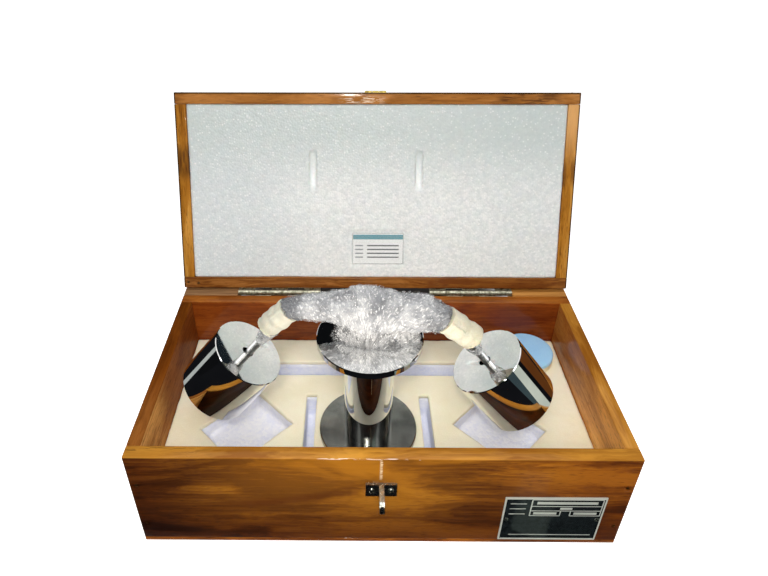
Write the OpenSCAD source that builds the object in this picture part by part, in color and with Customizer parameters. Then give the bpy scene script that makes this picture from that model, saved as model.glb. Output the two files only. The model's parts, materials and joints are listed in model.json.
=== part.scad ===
// Ball pressure test apparatus in its wooden carrying case.
// The case stands on z = 0 and is centred on x and y. Its front faces -Y and its lid stands open.

/* [Case] */
// Outside width of the case
case_w = 355; // [335:1:400]
// Outside depth of the case
case_d = 178; // [172:1:210]
// Height of the case up to its rim
case_h = 96; // [90:1:120]
// Thickness of the case and lid walls
wall_t = 10; // [8:0.5:12]
// Thickness of the base board and of the lid board
board_t = 4; // [3:0.5:6]

/* [Lid] */
// Overall height of the lid
lid_h = 36; // [30:1:50]
// Angle through which the lid stands open
lid_angle = 109.6; // [104:0.2:116]
// Length of each stop block behind the case
stop_l = 50; // [40:1:60]
// Height of each stop block
stop_h = 24; // [16:1:40]

/* [Hinges] */
// Length of each butt hinge
hinge_l = 76.2; // [60:0.2:90]
// Distance of each hinge from the end of the case
hinge_inset = 50.5; // [45:0.5:70]
// Height of each hinge leaf
hinge_leaf_h = 18; // [14:0.5:22]
// Thickness of the hinge leaves
hinge_leaf_t = 1.3; // [1:0.1:1.8]
// Outside diameter of the hinge knuckles
knuckle_d = 5; // [4.4:0.1:6]
// Diameter of the hinge pins
hinge_pin_d = 2.5; // [2:0.1:3]
// Distance of the hinge axis behind the back panel
hinge_offset = 4.4; // [4:0.1:6]

/* [Hasp and staple] */
// Width of the hasp
hasp_w = 20; // [16:1:26]
// Length of the hasp strap from its pin to its tip
hasp_strap_l = 84; // [80:1:95]
// Thickness of the hasp sheet
hasp_t = 1.3; // [1:0.1:1.6]
// Outside diameter of the hasp knuckles
hasp_knuckle_d = 4.4; // [4:0.1:5]
// Diameter of the hasp pin
hasp_pin_d = 1.8; // [1.4:0.1:2]
// Width of the staple plate
staple_w = 22; // [20:0.5:28]
// Height of the staple plate
staple_h = 12.5; // [11:0.5:16]
// Depth of the middle of the staple below the rim
staple_drop = 31.7; // [26:0.1:38]
// Thickness of one ply of the staple sheet
staple_t = 1.7; // [1.2:0.1:2]
// Reach of the staple lug in front of the case
staple_reach = 19.5; // [16:0.5:24]
// Diameter of the padlock hole in the lug
padlock_d = 6; // [5:0.5:7]

/* [Nameplate] */
// Width of the nameplate
plate_w = 72.5; // [60:0.5:80]
// Height of the nameplate
plate_h = 50; // [40:0.5:56]
// Thickness of the nameplate
plate_t = 0.8; // [0.5:0.1:1.5]

/* [Tray] */
// Height of the top of the tray above the underside
tray_top = 51; // [47:0.5:56]
// Thickness of the cream sheet on the tray
sheet_t = 4; // [3:0.5:6]
// Gap between the foam and the wood around it
foam_gap = 0.5; // [0.3:0.1:0.8]
// Width of the slots for the flanges of the support
slot_w = 8.5; // [7:0.5:12]
// Length of the slots for the flanges
slot_l = 62; // [50:1:72]
// Depth of the slots for the flanges
slot_depth = 27; // [20:0.5:34]
// Depth of the beds for the two weights
bed_depth = 16; // [10:0.5:24]
// Width of the channel for the yoke
channel_w = 16; // [13:0.5:22]
// Depth of the channel for the yoke
channel_depth = 22; // [14:0.5:38]
// Depth of the lid foam's face behind the rim
lid_foam_recess = 1.5; // [0.5:0.5:4]
// Diameter of the blue foam pad
pad_d = 46; // [40:1:54]
// Thickness of the blue foam pad
pad_t = 10; // [6:0.5:14]

/* [Specimen support] */
// Height of the specimen support
support_h = 100; // [90:1:106]
// Diameter of the two discs
disc_d = 77; // [70:0.5:80]
// Thickness of the two discs
disc_t = 5; // [4:0.5:7]
// Diameter of the column
column_d = 37.5; // [30:0.5:44]

/* [Loading device] */
// Diameter of the pressing ball
ball_d = 5; // [4:0.5:6]
// Height of the yoke bar's axis above the face of the support
yoke_height = 24; // [23:0.5:30]
// Diameter of the yoke bar
bar_d = 6; // [5:0.5:7]
// Distance of each weight's inner face from the middle of the yoke
yoke_half = 87; // [80:1:95]
// Drop from the yoke bar's axis to the middle of each weight's inner face
yoke_drop = 44.7; // [42:0.5:48]
// Slope of the arms below the horizontal
arm_slope = 52.5; // [48:0.5:58]
// Radius of the bar's axis in the two bends
bend_r = 25; // [20:1:28]
// Diameter of each weight
weight_d = 56; // [50:0.5:60]
// Length of each weight
weight_l = 48; // [42:0.5:54]
// Turn of the yoke about the vertical
yoke_turn = -2.5; // [-6:0.5:6]
// Outside diameter of the left foam sleeve
left_sleeve_d = 18.5; // [16:0.5:21]
// Outside diameter of the right foam sleeve
right_sleeve_d = 20; // [17:0.5:22]

/* [Hidden] */
$fn = 48;

// Clearances shared by pieces that fit together
run_gap = 0.06;   // radial, a pin in its knuckle or a shank in its hole
side_gap = 0.3;   // between knuckles, and between pieces that move past each other
seat_gap = 0.3;   // a soft piece on what carries it

// Places on the case
half_w = case_w / 2;
half_d = case_d / 2;
rail_h = lid_h - board_t;
hinge_y = half_d + hinge_offset;
hinge_z = case_h;
lid_lean = lid_angle - 90;
stop_d = hinge_offset + (hinge_offset - seat_gap) / sin(lid_lean);
stop_chamfer = 1.6;
hinge_mid = half_w - hinge_inset - hinge_l / 2;
staple_z = case_h - staple_drop;

// Fasteners
nail_r = 0.8;
nail_head_r = 1.4;
nail_head_t = 0.7;
nail_l = 25;
wood_screw_r = 1.1;
wood_screw_head_r = 2.4;
wood_screw_l = 8;
leaf_screw_pitch = 26;
leaf_screw_drop = 11.5;

// Hasp, written for the closed lid
hasp_proud = 1.7;
hasp_recess = hasp_knuckle_d - hasp_proud;
hasp_y = -half_d + hasp_recess - hasp_knuckle_d / 2;
hasp_z = case_h + lid_h + hasp_knuckle_d / 2 + side_gap;
hasp_leaf_h = 26;
hasp_slot_w = 6;
hasp_slot_l = staple_h + 4;
hasp_slot_mid = hasp_z - staple_z;
hasp_screw_l = wall_t - hasp_recess + hasp_t - 2;
hasp_crank = max(0, staple_t + 0.1 + hasp_t - hasp_proud);
hasp_crank_at = hasp_z - case_h + 7;
hasp_screw_x = 5.5;
hasp_screw_drops = [9, 21];

// Staple
staple_screw_x = 6.7;
staple_head_r = 2.3;
staple_nose_r = 5;
staple_crease = 0.4;

// Nameplate, at the lower right of the front
plate_inset = 52.5;
plate_x = half_w - plate_inset;
plate_z = 30.5;
plate_border = 1.6;
rivet_r = 1.7;
rivet_inset = 3.3;
rivet_l = wall_t / 2;

// Tray lay-out: where the pieces lie when the case is packed
pack_x = -7.5;
slot_y = -20.5;
slot_gap = support_h - disc_t;
bed_shift = 15;
bed_x = yoke_half + bed_shift;
bed_y = -23;
bed_turn = 45;
bed_ease = 1;
channel_y = 41.3;
channel_end = 10;
channel_l = 2 * (yoke_half + channel_end);
pad_x = half_w - wall_t - foam_gap - 6.5 - pad_d / 2;
pad_y = half_d - wall_t - foam_gap - 0.2 - pad_d / 2;

// Label in its clear sleeve on the lid foam, placed up from the hinge side
label_w = 47.5;
label_h = 30;
label_t = 0.6;
label_wall = 0.2;
label_x = 2.4;
label_up = 37.7;

// Support
support_x = -8;
support_y = -26.5;
support_z = tray_top;
support_face = support_z + support_h;
spigot_r = 7;
spigot_l = 2.5;
disc_chamfer = 0.6;
support_screw_r = 3;
support_screw_l = 14;
support_screw_head_r = 5.5;
support_screw_let_in = 0.4;

// Loading device, drawn about the middle of the bar's axis and then placed
yoke_x = -10.3;
yoke_z = support_face + seat_gap + yoke_height;
bar_r = bar_d / 2;
arm_l = yoke_drop / sin(arm_slope);
corner_x = yoke_half - arm_l * cos(arm_slope);
bend_reach = bend_r * tan(arm_slope / 2);
flat_half = corner_x - bend_reach;
bend_len = bend_r * arm_slope * PI / 180;
arm_straight = arm_l - bend_reach;
weight_bore_depth = 18;
face_recess_r = 3.7;
face_recess_depth = 3;
face_recess_shift = 2.6;
boss_r = 8;
boss_h = 16;
stem_r = 4;
stem_tip_r = 2.9;
ball_r = ball_d / 2;
ball_z = ball_r - yoke_height;
nut_r = 7;
nut_h = 4;
thread_depth = 4.5;
bend_swell = 0.05;
bend_lead = 0.5;
set_screw_r = 2.5;
left_sleeve_set = [27.2, 3.5, 33.6, 1.4];
right_sleeve_set = [23.2, 3.7, 39.8, -2.2];
film_sides = 20;
film_bore = 0.5;

wood = [0.62, 0.34, 0.13];
bare_wood = [0.66, 0.47, 0.26];
zinc = [0.74, 0.74, 0.68];
chrome = [0.80, 0.81, 0.83];
cream = [0.91, 0.88, 0.75];
white_foam = [0.82, 0.84, 0.88];

// A countersunk wood screw with its head at the origin, pointing along -Z.
module wood_screw(extra = 0, length = wood_screw_l) {
  r = wood_screw_r + extra;
  hr = wood_screw_head_r + extra;
  translate([0, 0, -length]) cylinder(r = r, h = length);
  translate([0, 0, r - hr]) cylinder(r1 = r, r2 = hr, h = hr - r);
}

// The straight shank and flat head of a nail driven flush, pointing along -Z.
module nail(extra = 0) {
  translate([0, 0, -nail_l]) cylinder(r = nail_r + extra, h = nail_l);
  translate([0, 0, -nail_head_t]) cylinder(r = nail_head_r + extra, h = nail_head_t);
}

// Carries its children from the closed lid to the lid's open place.
module opened_lid() {
  translate([0, hinge_y, hinge_z]) rotate([-lid_angle, 0, 0]) translate([0, -hinge_y, -hinge_z]) children();
}

// Nails through the ends of the front and back walls into the side walls.
module wall_nails(z_list, extra = 0) {
  for (end = [-1, 1], face = [-1, 1], z = z_list)
    translate([end * (half_w - wall_t / 2), face * half_d, z]) rotate([face * -90, 0, 0]) nail(extra);
}

case_nail_z = [case_h * 0.23, case_h * 0.69];
lid_nail_z = [case_h + rail_h * 0.3, case_h + rail_h * 0.75];
// Two nails driven through the lid's rim near its left hinge corner
rim_nails = [[-half_w + wall_t * 0.4, half_d - wall_t * 0.55],
  [-half_w + wall_t * 1.35, half_d - wall_t * 0.45]];

module base_board() {
  color(wood) translate([-half_w, -half_d, 0]) cube([case_w, case_d, board_t]);
}

module case_wall_blank(y) {
  translate([-half_w, y, board_t]) cube([case_w, wall_t, case_h - board_t]);
}

module front_panel() {
  color(wood) difference() {
    case_wall_blank(-half_d);
    wall_nails(case_nail_z, run_gap);
    for (side = [-1, 1]) translate([side * staple_screw_x, -half_d, staple_z]) rotate([90, 0, 0])
      staple_screw(run_gap);
    for (side = [-1, 1]) translate([plate_x + side * (plate_w / 2 - rivet_inset), -half_d, plate_z])
      rotate([90, 0, 0]) rivet(run_gap);
  }
}

module back_panel() {
  color(wood) difference() {
    case_wall_blank(half_d - wall_t);
    wall_nails(case_nail_z, run_gap);
    case_leaf_screw_set(run_gap);
  }
}

module side_panel(side) {
  color(wood) difference() {
    translate([side > 0 ? half_w - wall_t : -half_w, -half_d + wall_t, board_t])
      cube([wall_t, case_d - 2 * wall_t, case_h - board_t]);
    wall_nails(case_nail_z, run_gap);
  }
}

module panel_nails() {
  color(zinc) wall_nails(case_nail_z);
}

// A bare block behind the case, flush with the rim, on which the open lid leans.
module lid_stop(side) {
  color(bare_wood) translate([side > 0 ? half_w - stop_l : -half_w, half_d, case_h - stop_h])
    rotate([90, 0, 90]) linear_extrude(stop_l)
      polygon(side > 0 ? [[0, 0], [stop_d, 0], [stop_d, stop_h], [0, stop_h]]
        : [[0, 0], [stop_d, 0], [stop_d, stop_h], [stop_chamfer, stop_h], [0, stop_h - stop_chamfer]]);
}

// Everything that is cut down into the tray from its top face.
module tray_cuts() {
  for (side = [-1, 1]) {
    translate([pack_x + side * slot_gap / 2 - slot_w / 2, slot_y - slot_l / 2, tray_top - slot_depth])
      cube([slot_w, slot_l, slot_depth + 1]);
    translate([pack_x + 3.5 + side * bed_x, bed_y, tray_top - bed_depth]) rotate([0, 0, side * bed_turn])
      translate([-(weight_l + bed_ease) / 2, -(weight_d + bed_ease) / 2, 0])
        cube([weight_l + bed_ease, weight_d + bed_ease, bed_depth + 1]);
  }
  translate([pack_x - channel_l / 2, channel_y - channel_w / 2, tray_top - channel_depth])
    cube([channel_l, channel_w, channel_depth + 1]);
}

module tray_layer(z, h) {
  difference() {
    translate([-half_w + wall_t + foam_gap, -half_d + wall_t + foam_gap, z])
      cube([case_w - 2 * (wall_t + foam_gap), case_d - 2 * (wall_t + foam_gap), h]);
    tray_cuts();
  }
}

module tray_block() {
  color(white_foam) tray_layer(board_t, tray_top - sheet_t - board_t);
}

module tray_sheet() {
  color(cream) tray_layer(tray_top - sheet_t, sheet_t);
}

module blue_pad() {
  color([0.56, 0.74, 0.88]) translate([pad_x, pad_y, tray_top]) cylinder(d = pad_d, h = pad_t);
}

// Round-head screw through a staple ear, head outside, pointing along -Z into the wood.
module staple_screw(extra = 0) {
  translate([0, 0, -wood_screw_l]) cylinder(r = wood_screw_r + extra, h = wood_screw_l + staple_t + 0.1);
}

module staple_lug_outline() {
  nose = [-half_d - staple_reach + staple_nose_r, staple_z + staple_h / 2 - staple_nose_r];
  hull() {
    translate(nose) circle(r = staple_nose_r);
    translate([-half_d - staple_t, staple_z - staple_h / 2]) square([staple_t, staple_h]);
  }
}

module staple() {
  nose_y = -half_d - staple_reach + staple_nose_r;
  nose_z = staple_z + staple_h / 2 - staple_nose_r;
  lug_t = 2 * staple_t;
  color(zinc) difference() {
    union() {
      translate([-staple_w / 2, -half_d - staple_t, staple_z - staple_h / 2])
        cube([staple_w, staple_t, staple_h]);
      translate([-lug_t / 2, 0, 0]) rotate([90, 0, 90]) linear_extrude(lug_t) staple_lug_outline();
    }
    translate([-lug_t, nose_y, nose_z]) rotate([0, 90, 0]) cylinder(d = padlock_d, h = 2 * lug_t);
    translate([-staple_crease / 2, -half_d - staple_reach - 1, nose_z + staple_nose_r - staple_crease])
      cube([staple_crease, staple_reach + 1 - staple_t, staple_crease + 1]);
    for (side = [-1, 1]) translate([side * staple_screw_x, -half_d, staple_z]) rotate([90, 0, 0])
      staple_screw(run_gap);
  }
}

module staple_screws() {
  color(zinc) for (side = [-1, 1])
    translate([side * staple_screw_x, -half_d, staple_z]) rotate([90, 0, 0]) difference() {
      union() {
        staple_screw();
        translate([0, 0, staple_t]) intersection() {
          translate([0, 0, -staple_head_r * 0.35]) sphere(r = staple_head_r * 1.06);
          cylinder(r = staple_head_r, h = staple_head_r);
        }
      }
      translate([-staple_head_r, -0.3, staple_t + 1]) cube([2 * staple_head_r, 0.6, staple_head_r]);
    }
}

// A nameplate rivet: a domed head outside and a shank along -Z.
module rivet(extra = 0) {
  translate([0, 0, -rivet_l]) cylinder(r = rivet_r * 0.6 + extra, h = rivet_l + plate_t + 0.1);
}

module nameplate() {
  color([0.08, 0.09, 0.09]) difference() {
    translate([plate_x - plate_w / 2, -half_d - plate_t, plate_z - plate_h / 2])
      cube([plate_w, plate_t, plate_h]);
    translate([plate_x - plate_w / 2, -half_d - plate_t, plate_z - plate_h / 2])
      translate([plate_border, -1, plate_border])
        cube([plate_w - 2 * plate_border, 1 + plate_t * 0.25, plate_h - 2 * plate_border]);
    for (side = [-1, 1]) translate([plate_x + side * (plate_w / 2 - rivet_inset), -half_d, plate_z])
      rotate([90, 0, 0]) rivet(run_gap);
  }
}

module nameplate_rivets() {
  color(zinc) for (side = [-1, 1])
    translate([plate_x + side * (plate_w / 2 - rivet_inset), -half_d, plate_z]) rotate([90, 0, 0]) {
      rivet();
      translate([0, 0, plate_t]) intersection() {
        translate([0, 0, -rivet_r * 0.5]) sphere(r = rivet_r * 1.12);
        cylinder(r = rivet_r, h = rivet_r);
      }
    }
}

// Section of a cranked leaf: a flat plate on the wood, an offset web and the rolled knuckle.
// The hinge axis is at the origin, the wood at x = -hinge_offset, the plate runs down -Y.
module leaf_section(with_knuckle) {
  r = knuckle_d / 2;
  t = hinge_leaf_t;
  top = -r - side_gap - 0.6;
  translate([-hinge_offset, -hinge_leaf_h]) square([t, hinge_leaf_h + top]);
  if (with_knuckle) {
    polygon([[-hinge_offset, top - 2], [-hinge_offset + t, top - 2], [-r + t * 0.7, -r * 0.75],
      [-r * 0.2, -r * 0.3], [-r, 0], [-r * 0.98, -r * 0.6], [-hinge_offset, top]]);
    circle(d = knuckle_d);
  }
}

function knuckle_span(i) = [hinge_l * i / 5 + (i > 0 ? side_gap / 2 : 0),
  hinge_l * (i + 1) / 5 - (i < 4 ? side_gap / 2 : 0)];

// One hinge leaf. Knuckles 1 and 3 of 0 to 4 belong to the case leaf, the others to the lid leaf.
module hinge_leaf(mid_x, mine) {
  translate([mid_x - hinge_l / 2, hinge_y, hinge_z]) difference() {
    union() {
      rotate([90, 0, 90]) linear_extrude(hinge_l) leaf_section(false);
      for (i = mine) translate([knuckle_span(i)[0], 0, 0]) rotate([90, 0, 90])
        linear_extrude(knuckle_span(i)[1] - knuckle_span(i)[0]) leaf_section(true);
    }
    translate([-1, 0, 0]) rotate([0, 90, 0]) cylinder(r = hinge_pin_d / 2 + run_gap, h = hinge_l + 2);
  }
}

// Screws of a leaf: heads on the leaf's outer face, pointing into the wood.
module leaf_screw_set(mid_x, drop, extra = 0) {
  for (i = [-1, 0, 1]) translate([mid_x + i * leaf_screw_pitch, half_d + hinge_leaf_t, hinge_z - drop])
    rotate([-90, 0, 0]) wood_screw(extra);
}

module case_leaf_screw_set(extra = 0) {
  for (side = [-1, 1]) leaf_screw_set(side * hinge_mid, leaf_screw_drop, extra);
}

module lid_leaf_screw_set(extra = 0) {
  for (side = [-1, 1]) leaf_screw_set(side * hinge_mid, -leaf_screw_drop, extra);
}

module hinge_case_leaf(side) {
  color(zinc) difference() {
    hinge_leaf(side * hinge_mid, [1, 3]);
    case_leaf_screw_set(run_gap);
  }
}

module hinge_lid_leaf(side) {
  color(zinc) opened_lid() difference() {
    translate([0, 0, 2 * hinge_z]) mirror([0, 0, 1]) hinge_leaf(side * hinge_mid, [0, 2, 4]);
    lid_leaf_screw_set(run_gap);
  }
}

module hinge_pin(side) {
  color(zinc) translate([side * hinge_mid - hinge_l / 2, hinge_y, hinge_z]) rotate([0, 90, 0])
    cylinder(d = hinge_pin_d, h = hinge_l);
}

module case_leaf_screws() {
  color(zinc) case_leaf_screw_set();
}

module lid_leaf_screws() {
  color(zinc) opened_lid() lid_leaf_screw_set();
}

// The recess in which the hasp leaf lies flush.
module hasp_recess_cut() {
  translate([-hasp_w / 2 - run_gap, -half_d - 1, hasp_z - hasp_leaf_h - run_gap])
    cube([hasp_w + 2 * run_gap, 1 + hasp_recess, hasp_leaf_h + 1]);
}

module lid_board() {
  color(wood) opened_lid() difference() {
    translate([-half_w, -half_d, case_h + rail_h]) cube([case_w, case_d, board_t]);
    hasp_recess_cut();
  }
}

module lid_rim_nails(extra = 0) {
  for (p = rim_nails) translate([p[0], p[1], case_h]) mirror([0, 0, 1]) nail(extra);
}

module lid_front_rail() {
  color(wood) opened_lid() difference() {
    translate([-half_w, -half_d, case_h]) cube([case_w, wall_t, rail_h]);
    wall_nails(lid_nail_z, run_gap);
    hasp_recess_cut();
    hasp_screw_set(run_gap);
  }
}

module lid_back_rail() {
  color(wood) opened_lid() difference() {
    translate([-half_w, half_d - wall_t, case_h]) cube([case_w, wall_t, rail_h]);
    wall_nails(lid_nail_z, run_gap);
    lid_leaf_screw_set(run_gap);
    lid_rim_nails(run_gap);
  }
}

module lid_side_rail(side) {
  color(wood) opened_lid() difference() {
    translate([side > 0 ? half_w - wall_t : -half_w, -half_d + wall_t, case_h])
      cube([wall_t, case_d - 2 * wall_t, rail_h]);
    wall_nails(lid_nail_z, run_gap);
  }
}

module lid_nails() {
  color(zinc) opened_lid() {
    wall_nails(lid_nail_z);
    lid_rim_nails();
  }
}

// The foam fills the lid. The packed support has pressed the edges of its two discs into it.
module lid_foam() {
  inset = wall_t + foam_gap;
  disc_z = tray_top - slot_depth + disc_d / 2;
  color(white_foam) opened_lid() difference() {
    translate([-half_w + inset, -half_d + inset, case_h + lid_foam_recess])
      cube([case_w - 2 * inset, case_d - 2 * inset, rail_h - lid_foam_recess]);
    for (side = [-1, 1]) translate([pack_x + side * slot_gap / 2 - disc_t / 2, slot_y, disc_z])
      rotate([0, 90, 0]) cylinder(d = disc_d, h = disc_t);
  }
}

// Places its children on the face of the lid foam: x across, y up the open lid, z out of the foam.
module on_lid_foam() {
  opened_lid() translate([label_x, half_d - label_up, case_h + lid_foam_recess])
    rotate([180, 0, 0]) children();
}

module label_sleeve() {
  color([0.86, 0.88, 0.90]) on_lid_foam() difference() {
    translate([-label_w / 2, -label_h / 2, 0]) cube([label_w, label_h, label_t]);
    translate([-label_w / 2 + 0.5, -label_h / 2 + 0.5, label_wall])
      cube([label_w - 1, label_h, label_t - 2 * label_wall]);
  }
}

module label_card() {
  color([0.95, 0.96, 0.96]) on_lid_foam() translate([-label_w / 2 + 1, -label_h / 2 + 1, label_wall])
    cube([label_w - 2, label_h - 2, label_t - 2 * label_wall]);
}

module hasp_screw_set(extra = 0) {
  for (side = [-1, 1], drop = hasp_screw_drops)
    translate([side * hasp_screw_x, -half_d + hasp_recess - hasp_t, hasp_z - drop]) rotate([90, 0, 0])
      wood_screw(extra, hasp_screw_l);
}

// The rolled knuckle and pin hole of a hasp piece whose plate runs down -Z on the wood side.
module hasp_leaf() {
  middle = hasp_w / 3;
  color(zinc) opened_lid() difference() {
    union() {
      translate([-hasp_w / 2, hasp_y + hasp_knuckle_d / 2 - hasp_t, hasp_z - hasp_leaf_h])
        cube([hasp_w, hasp_t, hasp_leaf_h - hasp_knuckle_d / 2 - side_gap]);
      for (side = [0, 1]) translate([-hasp_w / 2 + side * 2 * middle, hasp_y, hasp_z]) {
        rotate([0, 90, 0]) cylinder(d = hasp_knuckle_d, h = middle);
        translate([0, hasp_knuckle_d / 2 - hasp_t, -hasp_knuckle_d]) cube([middle, hasp_t, hasp_knuckle_d]);
      }
    }
    translate([-hasp_w, hasp_y, hasp_z]) rotate([0, 90, 0])
      cylinder(r = hasp_pin_d / 2 + run_gap, h = 2 * hasp_w);
    hasp_screw_set(run_gap);
  }
}

module hasp_leaf_screws() {
  color(zinc) opened_lid() hasp_screw_set();
}

module hasp_pin() {
  color(zinc) opened_lid() translate([-hasp_w / 2, hasp_y, hasp_z]) rotate([0, 90, 0])
    cylinder(d = hasp_pin_d, h = hasp_w);
}

// Side view of the strap below its knuckle: straight, then cranked outwards to pass over the staple plate.
module hasp_strap_section(neck, r) {
  low = -hasp_crank_at;
  out = -r - hasp_crank;
  polygon([[-r, -neck], [-r, low], [out, low - 3], [out, -hasp_strap_l], [out + hasp_t, -hasp_strap_l],
    [out + hasp_t, low - 3], [-r + hasp_t, low], [-r + hasp_t, -neck]]);
}

// The strap hangs plumb from its pin behind the open lid. Its slot goes over the staple when it is shut.
module hasp_strap() {
  middle = hasp_w / 3 - 2 * side_gap;
  neck = hasp_knuckle_d / 2 + side_gap;
  r = hasp_knuckle_d / 2;
  corner = hasp_w / 4;
  deep = hasp_crank + hasp_t + 2;
  color(zinc) opened_lid() translate([0, hasp_y, hasp_z]) rotate([lid_angle, 0, 0]) difference() {
    union() {
      translate([-middle / 2, 0, 0]) rotate([0, 90, 0]) cylinder(d = hasp_knuckle_d, h = middle);
      translate([-middle / 2, -r, -neck - 1]) cube([middle, hasp_t, neck + 1]);
      intersection() {
        translate([-hasp_w / 2, 0, 0]) rotate([90, 0, 90]) linear_extrude(hasp_w) hasp_strap_section(neck, r);
        translate([0, -r - hasp_crank - 1, 0]) rotate([-90, 0, 0]) linear_extrude(deep) hull() {
          translate([-hasp_w / 2, neck]) square([hasp_w, 1]);
          for (side = [-1, 1]) translate([side * (hasp_w / 2 - corner), hasp_strap_l - corner])
            circle(r = corner);
        }
      }
    }
    translate([-middle, 0, 0]) rotate([0, 90, 0]) cylinder(r = hasp_pin_d / 2 + run_gap, h = 2 * middle);
    translate([-hasp_slot_w / 2, -r - hasp_crank - 1, -hasp_slot_mid - hasp_slot_l / 2])
      cube([hasp_slot_w, deep, hasp_slot_l]);
  }
}

module at_support() {
  translate([support_x, support_y, support_z]) children();
}

// Profile of a turned disc with broken edges and a pocket of the spigot's size.
module disc_section(pocket_low) {
  r = disc_d / 2;
  c = disc_chamfer;
  difference() {
    polygon([[0, 0], [r - c, 0], [r, c], [r, disc_t - c], [r - c, disc_t], [0, disc_t]]);
    translate([0, pocket_low ? -1 : disc_t - spigot_l]) square([spigot_r + run_gap, spigot_l + 1]);
  }
}

module support_base() {
  color([0.45, 0.45, 0.43]) at_support() difference() {
    rotate_extrude() disc_section(false);
    translate([0, 0, -1]) cylinder(r = support_screw_r + run_gap, h = disc_t + 2);
    support_screw_head(run_gap);
    translate([0, 0, -1]) cylinder(r = support_screw_head_r + run_gap, h = support_screw_let_in + 1);
  }
}

// Countersunk head of the screw under the support, let in a little above its underside.
module support_screw_head(extra = 0) {
  depth = support_screw_head_r - support_screw_r;
  translate([0, 0, support_screw_let_in])
    cylinder(r1 = support_screw_head_r + extra, r2 = support_screw_r + extra, h = depth);
}

module support_column() {
  r = column_d / 2;
  lower = disc_t - spigot_l;
  upper = support_h - disc_t;
  color(chrome) at_support() difference() {
    rotate_extrude() polygon([[0, lower], [spigot_r, lower], [spigot_r, disc_t], [r, disc_t], [r, upper],
      [spigot_r, upper], [spigot_r, upper + spigot_l], [0, upper + spigot_l]]);
    cylinder(r = support_screw_r + run_gap, h = support_screw_l + 1);
    support_screw_head(run_gap);
  }
}

module support_top() {
  color(chrome) at_support() translate([0, 0, support_h - disc_t]) rotate_extrude() disc_section(true);
}

module support_screw() {
  color(zinc) at_support() difference() {
    union() {
      translate([0, 0, 1]) cylinder(r = support_screw_r, h = support_screw_l - 1);
      support_screw_head();
    }
    translate([0, 0, -1]) cylinder(r = 2, h = 3.5, $fn = 6);
  }
}

// The yoke stands in a vertical plane. Children are drawn about the middle of the bar's axis.
module at_yoke() {
  translate([yoke_x, support_y, yoke_z]) rotate([0, 0, yoke_turn]) children();
}

// Carries its children to a weight's inner face: z along the weight's axis and away from the yoke.
module at_weight(side) {
  at_yoke() translate([side * yoke_half, 0, -yoke_drop]) rotate([0, side * (90 + arm_slope), 0]) children();
}

// A round section swept through a bend of the yoke, from one angle to another. It stands slightly
// proud of the straights, which run a little way into it.
module bend(side, from, to, r) {
  translate([side * flat_half, 0, -bend_r]) mirror([side > 0 ? 0 : 1, 0, 0]) rotate([90, 0, 0])
    rotate([0, 0, 90 - to]) rotate_extrude(angle = to - from) translate([bend_r, 0]) circle(r = r + bend_swell);
}

// The straight of an arm, from the bend (less a lead into it) to a reach beyond the weight's face.
module arm(side, start, end, r) {
  translate([side * yoke_half, 0, -yoke_drop]) rotate([0, side * (90 + arm_slope), 0])
    translate([0, 0, start]) cylinder(r = r, h = end - start);
}

// The bent bar's outer form, with a radius that is larger for the hollow that clears it.
module bar_form(extra, reach) {
  r = bar_r + extra;
  translate([-flat_half - bend_lead, 0, 0]) rotate([0, 90, 0]) cylinder(r = r, h = 2 * (flat_half + bend_lead));
  for (side = [-1, 1]) {
    bend(side, 0, arm_slope, r);
    arm(side, -arm_straight - bend_lead, reach, r);
  }
}

module yoke_bar() {
  color(chrome) at_yoke() bar_form(0, weight_bore_depth);
}

module yoke_boss() {
  color(chrome) at_yoke() difference() {
    translate([0, 0, -boss_h / 2]) cylinder(r = boss_r, h = boss_h);
    translate([-boss_r - 1, 0, 0]) rotate([0, 90, 0]) cylinder(r = bar_r + run_gap, h = 2 * boss_r + 2);
    translate([0, 0, -boss_h / 2 - 1]) cylinder(r = stem_r + run_gap, h = thread_depth + 1);
    cylinder(r = set_screw_r + run_gap, h = boss_h);
  }
}

module yoke_set_screw() {
  color([0.2, 0.2, 0.22]) at_yoke() difference() {
    translate([0, 0, bar_r + run_gap]) cylinder(r = set_screw_r, h = boss_h / 2 - bar_r - run_gap);
    translate([0, 0, boss_h / 2 - 2]) cylinder(r = 1.4, h = 3, $fn = 6);
  }
}

// The stem screws into the boss from below. Its turned tip has a cup for the ball.
module ball_stem() {
  top = -boss_h / 2 + thread_depth;
  color(chrome) at_yoke() difference() {
    union() {
      translate([0, 0, ball_z + 4]) cylinder(r = stem_r, h = top - ball_z - 4);
      translate([0, 0, ball_z + 0.6]) cylinder(r1 = stem_tip_r, r2 = stem_r, h = 3.4);
    }
    translate([0, 0, ball_z]) sphere(r = ball_r + run_gap / 3);
  }
}

module stem_nut() {
  color(zinc) at_yoke() translate([0, 0, -boss_h / 2 - nut_h]) difference() {
    cylinder(r = nut_r, h = nut_h, $fn = 6);
    translate([0, 0, -1]) cylinder(r = stem_r + run_gap, h = nut_h + 2);
  }
}

module steel_ball() {
  color([0.7, 0.7, 0.72]) at_yoke() translate([0, 0, ball_z]) sphere(d = ball_d);
}

// A turned weight, screwed on the end of the bar. The hole's mouth is cut wide towards the yoke's middle.
module weight(side) {
  r = weight_d / 2;
  c = 0.5;
  color(chrome) at_weight(side) difference() {
    rotate_extrude() polygon([[0, 0], [r - c, 0], [r, c], [r, weight_l - c], [r - c, weight_l], [0, weight_l]]);
    translate([0, 0, -1]) cylinder(r = bar_r + run_gap, h = weight_bore_depth + 1);
    for (shift = [0, face_recess_shift]) translate([shift, 0, -1])
      cylinder(r = face_recess_r - shift * 0.3, h = face_recess_depth + 1);
  }
}

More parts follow.
